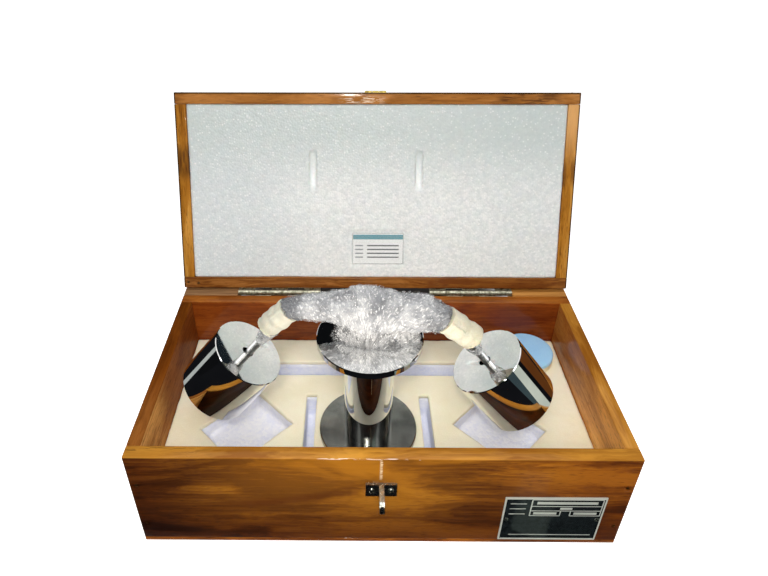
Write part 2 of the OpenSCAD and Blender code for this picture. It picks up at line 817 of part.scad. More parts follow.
// A stiff foam tube pushed over the end of a bend. Its bore is cut wider than the bar and it hangs to
// one side of it: its ends are given by their distance along the arm and their angle round the bend,
// each with the tube's offset from the bar's axis.
function sleeve_low(s) = [yoke_half - s[0] * cos(arm_slope) + s[1] * sin(arm_slope),
  -yoke_drop + s[0] * sin(arm_slope) + s[1] * cos(arm_slope)];
function sleeve_high(s) = [flat_half + (bend_r + s[3]) * sin(s[2]), -bend_r + (bend_r + s[3]) * cos(s[2])];
function sleeve_slope(s) = let (d = sleeve_high(s) - sleeve_low(s)) atan2(d[1], -d[0]);

module sleeve(side, s, d) {
  low = sleeve_low(s);
  color(cream) at_yoke() difference() {
    translate([side * low[0], 0, low[1]]) rotate([0, -side * (90 - sleeve_slope(s)), 0])
      cylinder(d = d, h = norm(sleeve_high(s) - low));
    bar_form(seat_gap, 0);
  }
}

// The film bundle is lofted from slices square to the bar. Each row gives a slice's place across and
// up from the bar's middle, its tilt, and its half height and half depth.
film_rows = [
  [-sleeve_high(left_sleeve_set)[0], sleeve_high(left_sleeve_set)[1], -sleeve_slope(left_sleeve_set), 9.6, 9.6],
  [-1.14 * flat_half, -0.6, -16, 9.4, 9.8], [-0.9 * flat_half, 0.5, 0, 10.2, 10.5],
  [-0.62 * flat_half, 0.2, 0, 12.4, 12], [-0.37 * flat_half, -1, 0, 15.8, 13],
  [-0.12 * flat_half, -1.9, 0, 21, 13.5], [0.07 * flat_half, -2.1, 0, 21.4, 13.5],
  [0.27 * flat_half, -2.4, 0, 20, 13.3], [0.55 * flat_half, -2.5, 0, 16, 12.8],
  [0.9 * flat_half, -2.2, 0, 15.2, 12.6], [1.14 * flat_half, -3.9, 18, 12.5, 11.6],
  [sleeve_high(right_sleeve_set)[0], sleeve_high(right_sleeve_set)[1], sleeve_slope(right_sleeve_set), 10.4, 10.4]
];
film_last = len(film_rows) - 1;

// A smooth curve through the rows.
function film_at(s) = let (i = min(floor(s), film_last - 1), t = s - i, a = film_rows[max(i - 1, 0)],
    b = film_rows[i], c = film_rows[i + 1], d = film_rows[min(i + 2, film_last)])
  (2 * b + (c - a) * t + (2 * a - 5 * b + 4 * c - d) * t * t + (3 * b - a - 3 * c + d) * t * t * t) / 2;

module film_slice(s) {
  f = film_at(s);
  end = s == 0 ? 1 : s == film_last ? -1 : 0;
  translate([f[0], 0, f[1]]) rotate([0, f[2], 0]) translate([end * seat_gap, 0, 0]) rotate([90, 0, 90])
    linear_extrude(0.02, center = true) scale([f[4], f[3]]) circle(r = 1, $fn = film_sides);
}

module film_wrap() {
  color([0.8, 0.82, 0.84, 0.7]) at_yoke() difference() {
    for (i = [0:film_last - 1], t = [0, 0.5]) hull() {
      film_slice(i + t);
      film_slice(i + t + 0.5);
    }
    bar_form(film_bore, 0, $fn = 20);
    translate([0, 0, -yoke_height - seat_gap])
      cylinder(r = boss_r + film_bore, h = yoke_height + boss_h / 2 + film_bore, $fn = 24);
  }
}

base_board();
front_panel();
back_panel();
side_panel(-1);  // left_panel
side_panel(1);  // right_panel
panel_nails();
lid_stop(-1);  // left_lid_stop
lid_stop(1);  // right_lid_stop
tray_block();
tray_sheet();
blue_pad();
staple();
staple_screws();
nameplate();
nameplate_rivets();
hinge_case_leaf(-1);  // left_hinge_case_leaf
hinge_case_leaf(1);  // right_hinge_case_leaf
hinge_pin(-1);  // left_hinge_pin
hinge_pin(1);  // right_hinge_pin
case_leaf_screws();
lid_board();
lid_front_rail();
lid_back_rail();
lid_side_rail(-1);  // lid_left_rail
lid_side_rail(1);  // lid_right_rail
lid_nails();
lid_foam();
label_sleeve();
label_card();
hinge_lid_leaf(-1);  // left_hinge_lid_leaf
hinge_lid_leaf(1);  // right_hinge_lid_leaf
lid_leaf_screws();
hasp_leaf();
hasp_leaf_screws();
hasp_pin();
hasp_strap();
support_base();
support_column();
support_top();
support_screw();
yoke_bar();
yoke_boss();
yoke_set_screw();
ball_stem();
stem_nut();
steel_ball();
weight(-1);  // left_weight
weight(1);  // right_weight
sleeve(-1, left_sleeve_set, left_sleeve_d);  // left_sleeve
sleeve(1, right_sleeve_set, right_sleeve_d);  // right_sleeve
film_wrap();
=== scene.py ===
"""Looks for the ball pressure test apparatus in its wooden case. Lengths are in metres."""

import json
import math

import bpy
from mathutils import Matrix, Vector

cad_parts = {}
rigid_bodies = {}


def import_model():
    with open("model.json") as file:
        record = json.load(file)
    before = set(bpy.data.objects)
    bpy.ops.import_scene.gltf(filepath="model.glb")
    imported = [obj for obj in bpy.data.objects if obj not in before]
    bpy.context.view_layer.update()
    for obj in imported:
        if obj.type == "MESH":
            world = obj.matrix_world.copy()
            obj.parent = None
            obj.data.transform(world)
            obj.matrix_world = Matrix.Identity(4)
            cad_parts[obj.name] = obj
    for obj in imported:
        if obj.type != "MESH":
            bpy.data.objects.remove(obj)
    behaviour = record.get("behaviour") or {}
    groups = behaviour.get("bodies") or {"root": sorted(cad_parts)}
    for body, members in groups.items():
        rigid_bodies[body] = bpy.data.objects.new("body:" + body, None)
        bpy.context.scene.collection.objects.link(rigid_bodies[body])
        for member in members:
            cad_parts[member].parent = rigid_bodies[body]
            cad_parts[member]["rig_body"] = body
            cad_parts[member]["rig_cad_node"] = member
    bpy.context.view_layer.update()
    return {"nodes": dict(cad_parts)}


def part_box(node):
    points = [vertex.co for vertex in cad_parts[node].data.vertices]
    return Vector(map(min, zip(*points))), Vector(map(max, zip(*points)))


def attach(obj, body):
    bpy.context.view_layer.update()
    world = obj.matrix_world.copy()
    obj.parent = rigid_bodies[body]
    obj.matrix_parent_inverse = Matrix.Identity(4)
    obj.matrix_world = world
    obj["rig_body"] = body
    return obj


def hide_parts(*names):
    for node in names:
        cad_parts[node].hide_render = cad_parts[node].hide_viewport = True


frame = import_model()
nodes = frame["nodes"]

# The case and its lid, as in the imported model
CASE_W, CASE_D, CASE_H = 0.355, 0.178, 0.096
HALF_W, HALF_D = CASE_W / 2, CASE_D / 2
WALL, BOARD, LID_H = 0.010, 0.004, 0.036
RAIL_TOP = CASE_H + LID_H - BOARD
HINGE = Vector((0.0, 0.0934, 0.096))
LID_ANGLE = math.radians(109.6)
LID_OPEN = Matrix.Translation(HINGE) @ Matrix.Rotation(-LID_ANGLE, 4, "X") @ Matrix.Translation(-HINGE)

# A Mapping with this turn and place takes a point of the open lid to where it lies on the shut one
LID_UNTURN = (LID_ANGLE, 0, 0)
LID_UNSHIFT = tuple(HINGE - Matrix.Rotation(LID_ANGLE, 3, "X") @ HINGE)

# Where each arm of the bar comes out of its weight, and the way that it runs from there
LEFT_ARM = (Vector((-0.0972, -0.0227, 0.1306)), Vector((0.6082, -0.0266, 0.7934)))
RIGHT_ARM = (Vector((0.0766, -0.0303, 0.1306)), Vector((-0.6082, 0.0266, 0.7934)))


# Camera, fitted to the photograph

camera_data = bpy.data.cameras.new("photo_camera")
camera_data.sensor_width = 36.0
camera_data.lens = 28.61
camera_data.shift_x = 0.0453
camera_data.shift_y = -0.0818
camera_data.clip_start = 0.01
camera = bpy.data.objects.new("photo_camera", camera_data)
bpy.context.scene.collection.objects.link(camera)
camera.location = (-0.0197, -0.3583, 0.4473)
camera.rotation_euler = (math.radians(58.437), math.radians(0.1), math.radians(0.46))
bpy.context.scene.camera = camera


# Modelling by hand

def deselect():
    if bpy.context.object and bpy.context.object.mode != "OBJECT":
        bpy.ops.object.mode_set(mode="OBJECT")
    bpy.ops.object.select_all(action="DESELECT")


def take(piece):
    """Makes a piece the only one selected, and the active one."""
    deselect()
    piece.select_set(True)
    bpy.context.view_layer.objects.active = piece


def settle(piece):
    """Puts the piece's place, turn and size into its mesh."""
    take(piece)
    bpy.ops.object.transform_apply(location=True, rotation=True, scale=True)


def finish_piece(piece, name, surface, body, replaced=(), angle=35):
    """Names a piece, gives it its surface and its body, and sets it for the solids that it replaces."""
    settle(piece)
    piece.name = name
    piece.data.name = name
    piece.data.materials.clear()
    piece.data.materials.append(surface)
    bpy.ops.object.shade_smooth_by_angle(angle=math.radians(angle))
    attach(piece, body)
    if replaced:
        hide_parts(*replaced)


def apply_modifier(piece, kind, **settings):
    take(piece)
    modifier = piece.modifiers.new(kind.lower(), kind)
    for key, value in settings.items():
        setattr(modifier, key, value)
    bpy.ops.object.modifier_apply(modifier=modifier.name)


def cube_between(low, high):
    """A cube primitive stretched between two corners."""
    deselect()
    low, high = Vector(low), Vector(high)
    bpy.ops.mesh.primitive_cube_add(size=1, location=(low + high) / 2)
    piece = bpy.context.object
    piece.scale = high - low
    settle(piece)
    return piece


def ease_edges(piece, width, segments=3):
    apply_modifier(piece, "BEVEL", width=width, segments=segments, limit_method="ANGLE",
                   angle_limit=math.radians(40), use_clamp_overlap=False)


def cut_away(piece, tool):
    """Takes the tool's space out of the piece, and the tool out of the scene."""
    apply_modifier(piece, "BOOLEAN", operation="DIFFERENCE", solver="EXACT", object=tool)
    bpy.data.objects.remove(tool)


def merged_copy(node_name):
    """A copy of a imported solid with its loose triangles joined."""
    piece = nodes[node_name].copy()
    piece.data = nodes[node_name].data.copy()
    piece.parent = None
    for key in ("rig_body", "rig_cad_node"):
        if key in piece:
            del piece[key]
    bpy.context.scene.collection.objects.link(piece)
    take(piece)
    bpy.ops.object.mode_set(mode="EDIT")
    bpy.ops.mesh.select_all(action="SELECT")
    bpy.ops.mesh.remove_doubles(threshold=0.00001)
    bpy.ops.object.mode_set(mode="OBJECT")
    return piece


def remesh(piece, voxel):
    take(piece)
    piece.data.remesh_voxel_size = voxel
    piece.data.use_remesh_fix_poles = True
    bpy.ops.object.voxel_remesh()


def relief(piece, kind, size, strength, **settings):
    """Moves the surface in and out by a procedural texture whose features are about size across."""
    texture = bpy.data.textures.new(piece.name + "_relief", kind)
    texture.noise_scale = size
    for key, value in settings.items():
        setattr(texture, key, value)
    apply_modifier(piece, "DISPLACE", texture=texture, strength=strength, mid_level=0.5, texture_coords="LOCAL")
    bpy.data.textures.remove(texture)


def select_vertices(piece, wanted):
    """Selects, in edit mode, the vertices that the test accepts."""
    take(piece)
    bpy.ops.object.mode_set(mode="EDIT")
    bpy.ops.mesh.select_mode(type="VERT")
    bpy.ops.mesh.select_all(action="DESELECT")
    bpy.ops.object.mode_set(mode="OBJECT")
    for vertex in piece.data.vertices:
        vertex.select = wanted(vertex.co)
    bpy.ops.object.mode_set(mode="EDIT")


# Surfaces

def linear(colour):
    """An sRGB hex colour as linear RGBA."""
    parts = [int(colour[i:i + 2], 16) / 255 for i in (1, 3, 5)]
    return [p / 12.92 if p <= 0.04045 else ((p + 0.055) / 1.055) ** 2.4 for p in parts] + [1.0]


def main_output(value):
    """A node given as a value stands for the output that is used here. All else stays as it is."""
    if not isinstance(value, bpy.types.Node):
        return value
    if value.type == "TEX_COORD":
        return value.outputs["Object"]
    return value.outputs[2 if value.type == "MIX" and value.data_type == "RGBA" else 0]


def add(tree, kind, sockets=None, stops=None, **settings):
    """Adds a node with its settings. Each socket takes a value, a hex colour or another node."""
    made = tree.nodes.new("ShaderNode" + kind)
    for key, value in settings.items():
        setattr(made, key, value)
    for key, value in (sockets or {}).items():
        value = main_output(value)
        if isinstance(value, bpy.types.NodeSocket):
            tree.links.new(value, made.inputs[key])
        elif isinstance(value, str):
            made.inputs[key].default_value = linear(value)
        else:
            made.inputs[key].default_value = value
    if stops:
        while len(made.color_ramp.elements) < len(stops):
            made.color_ramp.elements.new(0.5)
        for element, (position, colour) in zip(made.color_ramp.elements, stops):
            element.position = position
            element.color = linear(colour)
    return made


def dress(skin, **patterns):
    """Links patterns to a shader's sockets."""
    for key, value in patterns.items():
        skin.id_data.links.new(main_output(value), skin.inputs[key.replace("_", " ")])


def new_surface(name, **fixed):
    """A material with one Principled shader, whose fixed numbers are set on its own sockets."""
    surface = bpy.data.materials.new(name)
    surface.use_nodes = True
    tree = surface.node_tree
    tree.nodes.clear()
    skin = add(tree, "BsdfPrincipled", {key.replace("_", " "): value for key, value in fixed.items()})
    add(tree, "OutputMaterial", {"Surface": skin})
    return surface, tree, skin


def smooth_step(tree, value, start, end, low=0.0, high=1.0):
    """A soft ramp from low at start to high at end."""
    return add(tree, "MapRange", {"Value": value, "From Min": start, "From Max": end, "To Min": low,
                                  "To Max": high},
               interpolation_type="SMOOTHSTEP")


def band(tree, value, middle, half, soft):
    """1 within half of the middle, and 0 from soft beyond it."""
    away = add(tree, "Math", {0: add(tree, "Math", {0: value, 1: middle}, operation="SUBTRACT")},
               operation="ABSOLUTE")
    return smooth_step(tree, away, half + soft, half)


def product(tree, *values):
    whole = values[0]
    for value in values[1:]:
        whole = add(tree, "Math", {0: whole, 1: value}, operation="MULTIPLY")
    return whole


def tinted(tree, share, colour, paint, blend="MIX"):
    """The colour, with a share of paint over it."""
    return add(tree, "Mix", {0: share, 6: colour, 7: paint}, data_type="RGBA", blend_type=blend)


def varnished_wood(name, along="X", on_lid=False, seed=(0, 0, 0), shades=("#6a350c", "#935013", "#b66d1c"),
                   painted_shade_fades=(), rim=0.0, bare=("#9a5f16", "#dc9d3c"), marks=None, gloss=0.1, coat=0.4,
                   spread=0.12):
    """Plain-sawn softwood under several coats of amber varnish, brushed on: a soft cloudy figure, fine streaks
    along the board, and a wet gloss. The rim is rubbed, by its share, to the two shades of bare."""
    surface, tree, skin = new_surface(name, Roughness=0.5, Coat_Weight=coat, Coat_Roughness=0.10,
                                      Specular_IOR_Level=gloss)
    place = add(tree, "TexCoord")
    if on_lid:
        place = add(tree, "Mapping", {"Vector": place, "Rotation": LID_UNTURN, "Location": LID_UNSHIFT})
    turn = (0, 0, math.radians(90) if along == "Y" else 0)
    board = add(tree, "Mapping", {"Vector": place, "Rotation": turn, "Location": seed})
    # Cloudy figure, 35 mm across the grain and 110 mm along it
    at = add(tree, "Mapping", {"Vector": board, "Scale": (1000 / 110, 1000 / 35, 1000 / 35)})
    figure = add(tree, "TexNoise", {"Vector": at, "Scale": 1.0, "Detail": 4.0, "Distortion": 1.0})
    # Streaks 2.5 mm apart, bent by the figure
    at = add(tree, "Mapping", {"Vector": board, "Scale": (1000 / 70, 1000 / 2.5, 1000 / 2.5)})
    bend = add(tree, "VectorMath", {0: figure, 1: (0.5, 7.0, 7.0)}, operation="MULTIPLY")
    at = add(tree, "VectorMath", {0: at, 1: bend}, operation="ADD")
    streaks = add(tree, "TexNoise", {"Vector": at, "Scale": 1.0, "Detail": 4.0, "Roughness": 0.6})
    # Pores, dark dashes 7 mm long, drawn 0.7 mm wide so that they show
    at = add(tree, "Mapping", {"Vector": board, "Scale": (1000 / 7, 1000 / 0.7, 1000 / 0.7)})
    pores = add(tree, "TexNoise", {"Vector": at, "Scale": 1.0, "Detail": 1.0})
    tone = add(tree, "Mix", {0: 0.35, 2: figure, 3: streaks}, data_type="FLOAT")
    stops = list(zip((0.5 - spread, 0.5, 0.5 + spread), shades))
    colour = add(tree, "ValToRGB", {"Fac": tone}, stops=stops)
    dashes = add(tree, "MapRange", {"Value": pores, "From Min": 0.58, "From Max": 0.72, "To Max": 0.55})
    colour = tinted(tree, dashes, colour, "#34170a")
    here = add(tree, "SeparateXYZ", {0: place})
    for axis, start, end, stain_and_painted_shade in painted_shade_fades:
        # Painted shade, multiplied over the board's colour: the tint at start, clear at end
        level = smooth_step(tree, here.outputs[axis], start, end)
        tint = add(tree, "ValToRGB", {"Fac": level}, stops=[(0.0, stain_and_painted_shade), (1.0, "#ffffff")])
        colour = tinted(tree, 1.0, colour, tint, "MULTIPLY")
    worn = None
    if rim:
        worn = add(tree, "MapRange", {"Value": here.outputs["Z"], "From Min": CASE_H - 0.0009,
                                      "From Max": CASE_H - 0.0003, "To Max": rim})
        rubbed_wood_and_glints = add(tree, "ValToRGB", {"Fac": tone}, stops=[(0.38, bare[0]), (0.62, bare[1])])
        colour = tinted(tree, worn, colour, rubbed_wood_and_glints)
    if marks:
        colour = marks(tree, here, worn, figure, streaks, pores, colour)
    low = add(tree, "Bump", {"Height": figure, "Distance": 0.0008, "Strength": 0.3})
    fine = add(tree, "Bump", {"Height": streaks, "Distance": 0.0001, "Strength": 0.5, "Normal": low})
    dress(skin, Base_Color=colour, Normal=fine, Coat_Normal=low)
    return surface


def front_board_marks(tree, here, on_rim, figure, streaks, pores, colour):
    """What use and light leave on the front board: a golden painted highlight under the rim, dark open fibres
    at the rim's left end, painted glints along its front edge, and a painted reflection of the staple's lug
    above it."""
    x, y, z = (here.outputs[axis] for axis in "XYZ")
    below = add(tree, "Math", {0: 1.0, 1: on_rim}, operation="SUBTRACT")
    outer = smooth_step(tree, y, -HALF_D + 0.0020, -HALF_D + 0.0012)
    # A golden painted highlight, 50 mm wide and fading out over 85 mm on either hand, broken up by the figure
    clouds = smooth_step(tree, figure, 0.40, 0.58, 0.35, 1.0)
    painted_highlight_patch = product(tree, band(tree, x, -0.032, 0.025, 0.085), smooth_step(tree, z, 0.022, 0.080), below,
                    clouds, outer, 0.85)
    colour = tinted(tree, painted_highlight_patch, colour, "#b87414")
    # A dark flame of heartwood that climbs from the lower left to the staple, 8 mm wide
    climb = add(tree, "Math", {0: x, 1: 0.22, 2: 0.0705}, operation="MULTIPLY_ADD")
    climb = add(tree, "Math", {0: z, 1: climb}, operation="SUBTRACT")
    climb = add(tree, "Math", {0: figure, 1: -0.05, 2: climb}, operation="MULTIPLY_ADD")
    flame = product(tree, band(tree, climb, -0.026, 0.001, 0.009), band(tree, x, -0.055, 0.03, 0.05), below,
                    smooth_step(tree, streaks, 0.35, 0.55, 0.25, 1.0), 0.7)
    colour = tinted(tree, flame, colour, "#5a2a06")
    # Open fibres
    fibre = product(tree, smooth_step(tree, x, -0.085, -0.16), on_rim,
                    smooth_step(tree, streaks, 0.50, 0.60), 0.85)
    colour = tinted(tree, fibre, colour, "#4a2408")
    # Painted glints of the varnish along the front edge, thick from 45 mm left of the staple to its right side,
    # and a few beyond
    edge = product(tree, smooth_step(tree, y, -HALF_D + 0.0006, -HALF_D + 0.0003),
                   smooth_step(tree, z, CASE_H - 0.0010, CASE_H - 0.0007))
    reach = add(tree, "Math", {0: band(tree, x, -0.016, 0.024, 0.006), 1: band(tree, x, 0.030, 0.008, 0.010)},
                operation="MAXIMUM")
    limit = smooth_step(tree, x, 0.012, 0.02, 0.52, 0.66)
    painted_edge_glints = add(tree, "Math", {0: pores, 1: limit}, operation="GREATER_THAN")
    colour = tinted(tree, product(tree, edge, reach, painted_edge_glints, 0.75), colour, "#fff3df")
    # A painted reflection of the staple's lug in the varnish above it, 2 mm wide and 20 mm long, wider at the
    # rim
    wander = add(tree, "Math", {0: pores, 1: 0.0014, 2: x}, operation="MULTIPLY_ADD")
    painted_staple_reflection = product(tree, band(tree, wander, 0.0002, 0.0004, 0.0009), band(tree, z, 0.0845, 0.0095, 0.002),
                  smooth_step(tree, pores, 0.62, 0.38, 0.25, 1.0), 0.85)
    return tinted(tree, painted_staple_reflection, colour, "#f6dfb4")


def lid_rail_marks(tree, here, on_rim, figure, streaks, pores, colour):
    """The lid's front rail, which the hasp is screwed to: speckled painted highlights beside the hasp, dark
    scratches towards its right end, and a darker stain on the hinge rail."""
    x, y, z = (here.outputs[axis] for axis in "XYZ")
    front = smooth_step(tree, y, 0.0, -0.01)
    face = smooth_step(tree, z, CASE_H + 0.0008, CASE_H + 0.0003)
    light = product(tree, front, face, smooth_step(tree, figure, 0.42, 0.60), 0.3)
    colour = tinted(tree, light, colour, "#c98a4e")
    # Painted highlights beside the hasp, speckled like glints in the varnish
    rubbed_wood_and_glints = product(tree, front, face, band(tree, x, -0.012, 0.008, 0.016),
                     band(tree, y, -0.0825, 0.001, 0.0035),
                     add(tree, "Math", {0: pores, 1: 0.57}, operation="GREATER_THAN"), 0.8)
    colour = tinted(tree, rubbed_wood_and_glints, colour, "#fbead2")
    scratch = product(tree, front, face, band(tree, x, 0.132, 0.02, 0.012),
                      smooth_step(tree, streaks, 0.46, 0.56), 0.8)
    colour = tinted(tree, scratch, colour, "#4e2a12")
    back = product(tree, smooth_step(tree, y, 0.0, 0.01), face,
                   smooth_step(tree, streaks, 0.62, 0.42, 0.35, 0.8),
                   smooth_step(tree, x, 0.06, -0.02, 0.45, 0.9))
    colour = tinted(tree, back, colour, "#5e2c0a")
    return dark_outline(tree, x, y, face, colour)


def dark_outline(tree, x, y, face, colour):
    """Darker along the lid's outer edges, 1.2 mm wide."""
    sides = smooth_step(tree, add(tree, "Math", {0: x}, operation="ABSOLUTE"), HALF_W - 0.0018, HALF_W - 0.0008)
    front = smooth_step(tree, y, -HALF_D + 0.0020, -HALF_D + 0.0008)
    edge = add(tree, "Math", {0: sides, 1: front}, operation="MAXIMUM")
    return tinted(tree, product(tree, edge, face, 0.85), colour, "#1f190c")


def lid_end_marks(tree, here, on_rim, figure, streaks, pores, colour):
    """The lid's two ends: a dark stain half way up the left one, and the right one lighter towards its top."""
    x, y, z = (here.outputs[axis] for axis in "XYZ")
    left = smooth_step(tree, x, 0.0, -0.01)
    stain_and_painted_shade = product(tree, left, band(tree, y, -0.028, 0.006, 0.014),
                    smooth_step(tree, streaks, 0.35, 0.55, 0.4, 1.0), 0.8)
    colour = tinted(tree, stain_and_painted_shade, colour, "#3d1c08")
    right = smooth_step(tree, x, 0.0, 0.01)
    lighter_top = product(tree, right, smooth_step(tree, y, -0.015, -0.070), 0.75)
    colour = tinted(tree, lighter_top, colour, "#e2ae72")
    low_stain = product(tree, right, band(tree, y, -0.020, 0.004, 0.012),
                        smooth_step(tree, streaks, 0.40, 0.55), 0.7)
    colour = tinted(tree, low_stain, colour, "#5a2f12")
    face = smooth_step(tree, z, CASE_H + 0.0008, CASE_H + 0.0003)
    return dark_outline(tree, x, y, face, colour)


def bare_timber(name, light, dark):
    """Sawn softwood without varnish: dull, with its fibres torn by the saw."""
    surface, tree, skin = new_surface(name, Roughness=0.8)
    place = add(tree, "TexCoord")
    at = add(tree, "Mapping", {"Vector": place, "Scale": (1000 / 60, 1000 / 2.2, 1000 / 2.2)})
    streaks = add(tree, "TexNoise", {"Vector": at, "Scale": 1.0, "Detail": 5.0, "Roughness": 0.6})
    colour = add(tree, "ValToRGB", {"Fac": streaks}, stops=[(0.32, dark), (0.62, light)])
    bump = add(tree, "Bump", {"Height": streaks, "Distance": 0.0004, "Strength": 0.6})
    dress(skin, Base_Color=colour, Normal=bump)
    return surface


def lid_foam_cells(name):
    """Expanded polyethylene, extruded in sheets: a cold milky body with painted glints on some of its tiny
    bubbles, painted shade that greys it towards the top, the left and the right, and a painted highlight in the
    dents."""
    surface, tree, skin = new_surface(name, Roughness=0.34, IOR=1.5, Subsurface_Weight=0.1,
                                      Subsurface_Scale=0.004)
    place = add(tree, "TexCoord")
    shut = add(tree, "Mapping", {"Vector": place, "Rotation": LID_UNTURN, "Location": LID_UNSHIFT})
    # Bubbles 2 mm across, of which some get a painted glint
    bubbles = add(tree, "TexVoronoi", {"Vector": shut, "Scale": 1000 / 2.0})
    lumps = add(tree, "TexNoise", {"Vector": shut, "Scale": 1000 / 2.5, "Detail": 3.0})
    each = add(tree, "SeparateColor", {0: bubbles.outputs["Color"]})
    tone = add(tree, "Mix", {0: 0.45, 2: lumps, 3: each}, data_type="FLOAT")
    colour = add(tree, "ValToRGB", {"Fac": tone}, stops=[(0.25, "#dde1e2"), (0.70, "#f0f2f2")])
    # Painted shade: the white goes grey-green towards the top, grey-blue towards the left and a little grey
    # towards the right
    x, y, z = (add(tree, "SeparateXYZ", {0: shut}).outputs[axis] for axis in "XYZ")
    colour = tinted(tree, smooth_step(tree, y, 0.012, -0.062, 0.0, 0.64), colour, "#b3c0bf")
    leftward_shade = product(tree, smooth_step(tree, x, -0.030, -0.120), smooth_step(tree, y, -0.06, 0.0), 0.34)
    colour = tinted(tree, leftward_shade, colour, "#b4c2ca")
    colour = tinted(tree, smooth_step(tree, x, 0.050, 0.130, 0.0, 0.14), colour, "#b4c2c4")
    # In the dents, a painted highlight whitens the foam and the grain is smoother
    hollow = smooth_step(tree, z, CASE_H + 0.0020, CASE_H + 0.0034)
    painted_bubble_glint = product(tree, smooth_step(tree, each, 0.66, 0.90), smooth_step(tree, bubbles, 0.42, 0.22), 0.45)
    colour = tinted(tree, painted_bubble_glint, colour, "#ffffff")
    colour = tinted(tree, product(tree, hollow, 0.45), colour, "#f6fafa")
    grainy = add(tree, "Math", {0: 1.0, 1: hollow}, operation="SUBTRACT")
    height = product(tree, bubbles, grainy)
    bump = add(tree, "Bump", {"Height": height, "Distance": 0.0007, "Strength": 0.45}, invert=True)
    dress(skin, Base_Color=colour, Normal=bump)
    return surface


def tray_foam_cells(name, light, dark):
    """Expanded polyethylene, extruded in sheets: round bubbles over a milky body, 2.4 mm and 1 mm across."""
    surface, tree, skin = new_surface(name, Roughness=0.6, IOR=1.5)
    place = add(tree, "TexCoord")
    cells = add(tree, "TexVoronoi", {"Vector": place, "Scale": 1000 / 2.4})
    small = add(tree, "TexVoronoi", {"Vector": place, "Scale": 2300 / 2.4})
    cloudy = add(tree, "TexNoise", {"Vector": place, "Scale": 1000 / 18, "Detail": 3.0})
    single = add(tree, "SeparateColor", {0: cells.outputs["Color"]})
    tone = add(tree, "Mix", {0: 0.7, 2: single, 3: cloudy}, data_type="FLOAT")
    colour = add(tree, "ValToRGB", {"Fac": tone}, stops=[(0.22, dark), (0.75, light)])
    low = add(tree, "Bump", {"Height": cells, "Distance": 0.0007, "Strength": 0.4}, invert=True)
    bump = add(tree, "Bump", {"Height": small, "Distance": 0.0003, "Strength": 0.4, "Normal": low}, invert=True)
    dress(skin, Base_Color=colour, Normal=bump)
    return surface


def soft_foam(name, light, dark, backing=None):
    """Open-cell polyurethane foam, cut with a hot wire: matt, with a sandy 1 mm grain and faint stains. A
    backing is the colour of the foot of the blue pad, where it meets the cream sheet."""
    surface, tree, skin = new_surface(name, Roughness=0.92, Subsurface_Weight=0.12, Subsurface_Scale=0.003,
                                      Sheen_Weight=0.1)
    place = add(tree, "TexCoord")
    stains = add(tree, "TexNoise", {"Vector": place, "Scale": 1000 / 45, "Detail": 4.0})
    grain = add(tree, "TexNoise", {"Vector": place, "Scale": 1000 / 1.0, "Detail": 3.0})
    tone = add(tree, "Mix", {0: 0.3, 2: stains, 3: grain}, data_type="FLOAT")
    colour = add(tree, "ValToRGB", {"Fac": tone}, stops=[(0.36, dark), (0.58, light)])
    if backing:
        height = add(tree, "SeparateXYZ", {0: place}).outputs["Z"]
        colour = tinted(tree, smooth_step(tree, height, 0.0585, 0.0575), colour, backing)
    bump = add(tree, "Bump", {"Height": grain, "Distance": 0.0003, "Strength": 0.5})
    dress(skin, Base_Color=colour, Normal=bump)
    return surface


def mirror_chrome(name, colour="#e2e5e7", roughness=0.03, bores=()):
    """Chromium plate, buffed: a clean cold mirror with a faint orange peel. It stops at the mouth of each
    bore, whose drilled wall gets painted shade, near black. A bore is given by its mouth and the way out of it."""
    surface, tree, skin = new_surface(name, Metallic=1.0, Roughness=roughness)
    place = add(tree, "TexCoord")
    waves = add(tree, "TexNoise", {"Vector": place, "Scale": 1000 / 12, "Detail": 1.0})
    smears = add(tree, "TexNoise", {"Vector": place, "Scale": 1000 / 25, "Detail": 4.0})
    tint = add(tree, "ValToRGB", {"Fac": smears}, stops=[(0.35, colour), (0.70, "#e2e3e3")])
    for mouth, outward in bores:
        from_mouth = add(tree, "VectorMath", {0: place, 1: mouth}, operation="SUBTRACT")
        depth = add(tree, "VectorMath", {0: from_mouth, 1: -outward}, operation="DOT_PRODUCT").outputs["Value"]
        apart = add(tree, "VectorMath", {0: from_mouth}, operation="LENGTH").outputs["Value"]
        # Painted shade inside each bore
        inside = product(tree, smooth_step(tree, depth, 0.0004, 0.0006), smooth_step(tree, apart, 0.022, 0.020))
        tint = tinted(tree, inside, tint, "#0c0d0e")
    bump = add(tree, "Bump", {"Height": waves, "Distance": 0.00002, "Strength": 0.15})
    dress(skin, Base_Color=tint, Normal=bump)
    return surface


def turned_steel(name, light, dark):
    """Steel as it left the lathe: fine rings about its axis and a soft grey shine that runs across them."""
    surface, tree, skin = new_surface(name, Metallic=1.0, Roughness=0.17)
    place = add(tree, "TexCoord")
    at = add(tree, "Mapping", {"Vector": place, "Location": (0.008, 0.0265, 0)})
    # Tool marks, drawn 1.1 mm apart so that they show
    rings = add(tree, "TexWave", {"Vector": at, "Scale": 290.0, "Distortion": 0.6, "Detail": 2.0},
                wave_type="RINGS", rings_direction="Z").outputs["Fac"]
    smears = add(tree, "TexNoise", {"Vector": place, "Scale": 1000 / 14, "Detail": 3.0})
    tint = add(tree, "ValToRGB", {"Fac": smears}, stops=[(0.35, dark), (0.65, light)])
    bump = add(tree, "Bump", {"Height": rings, "Distance": 0.00001, "Strength": 0.3})
    dress(skin, Base_Color=tint, Normal=bump)
    return surface


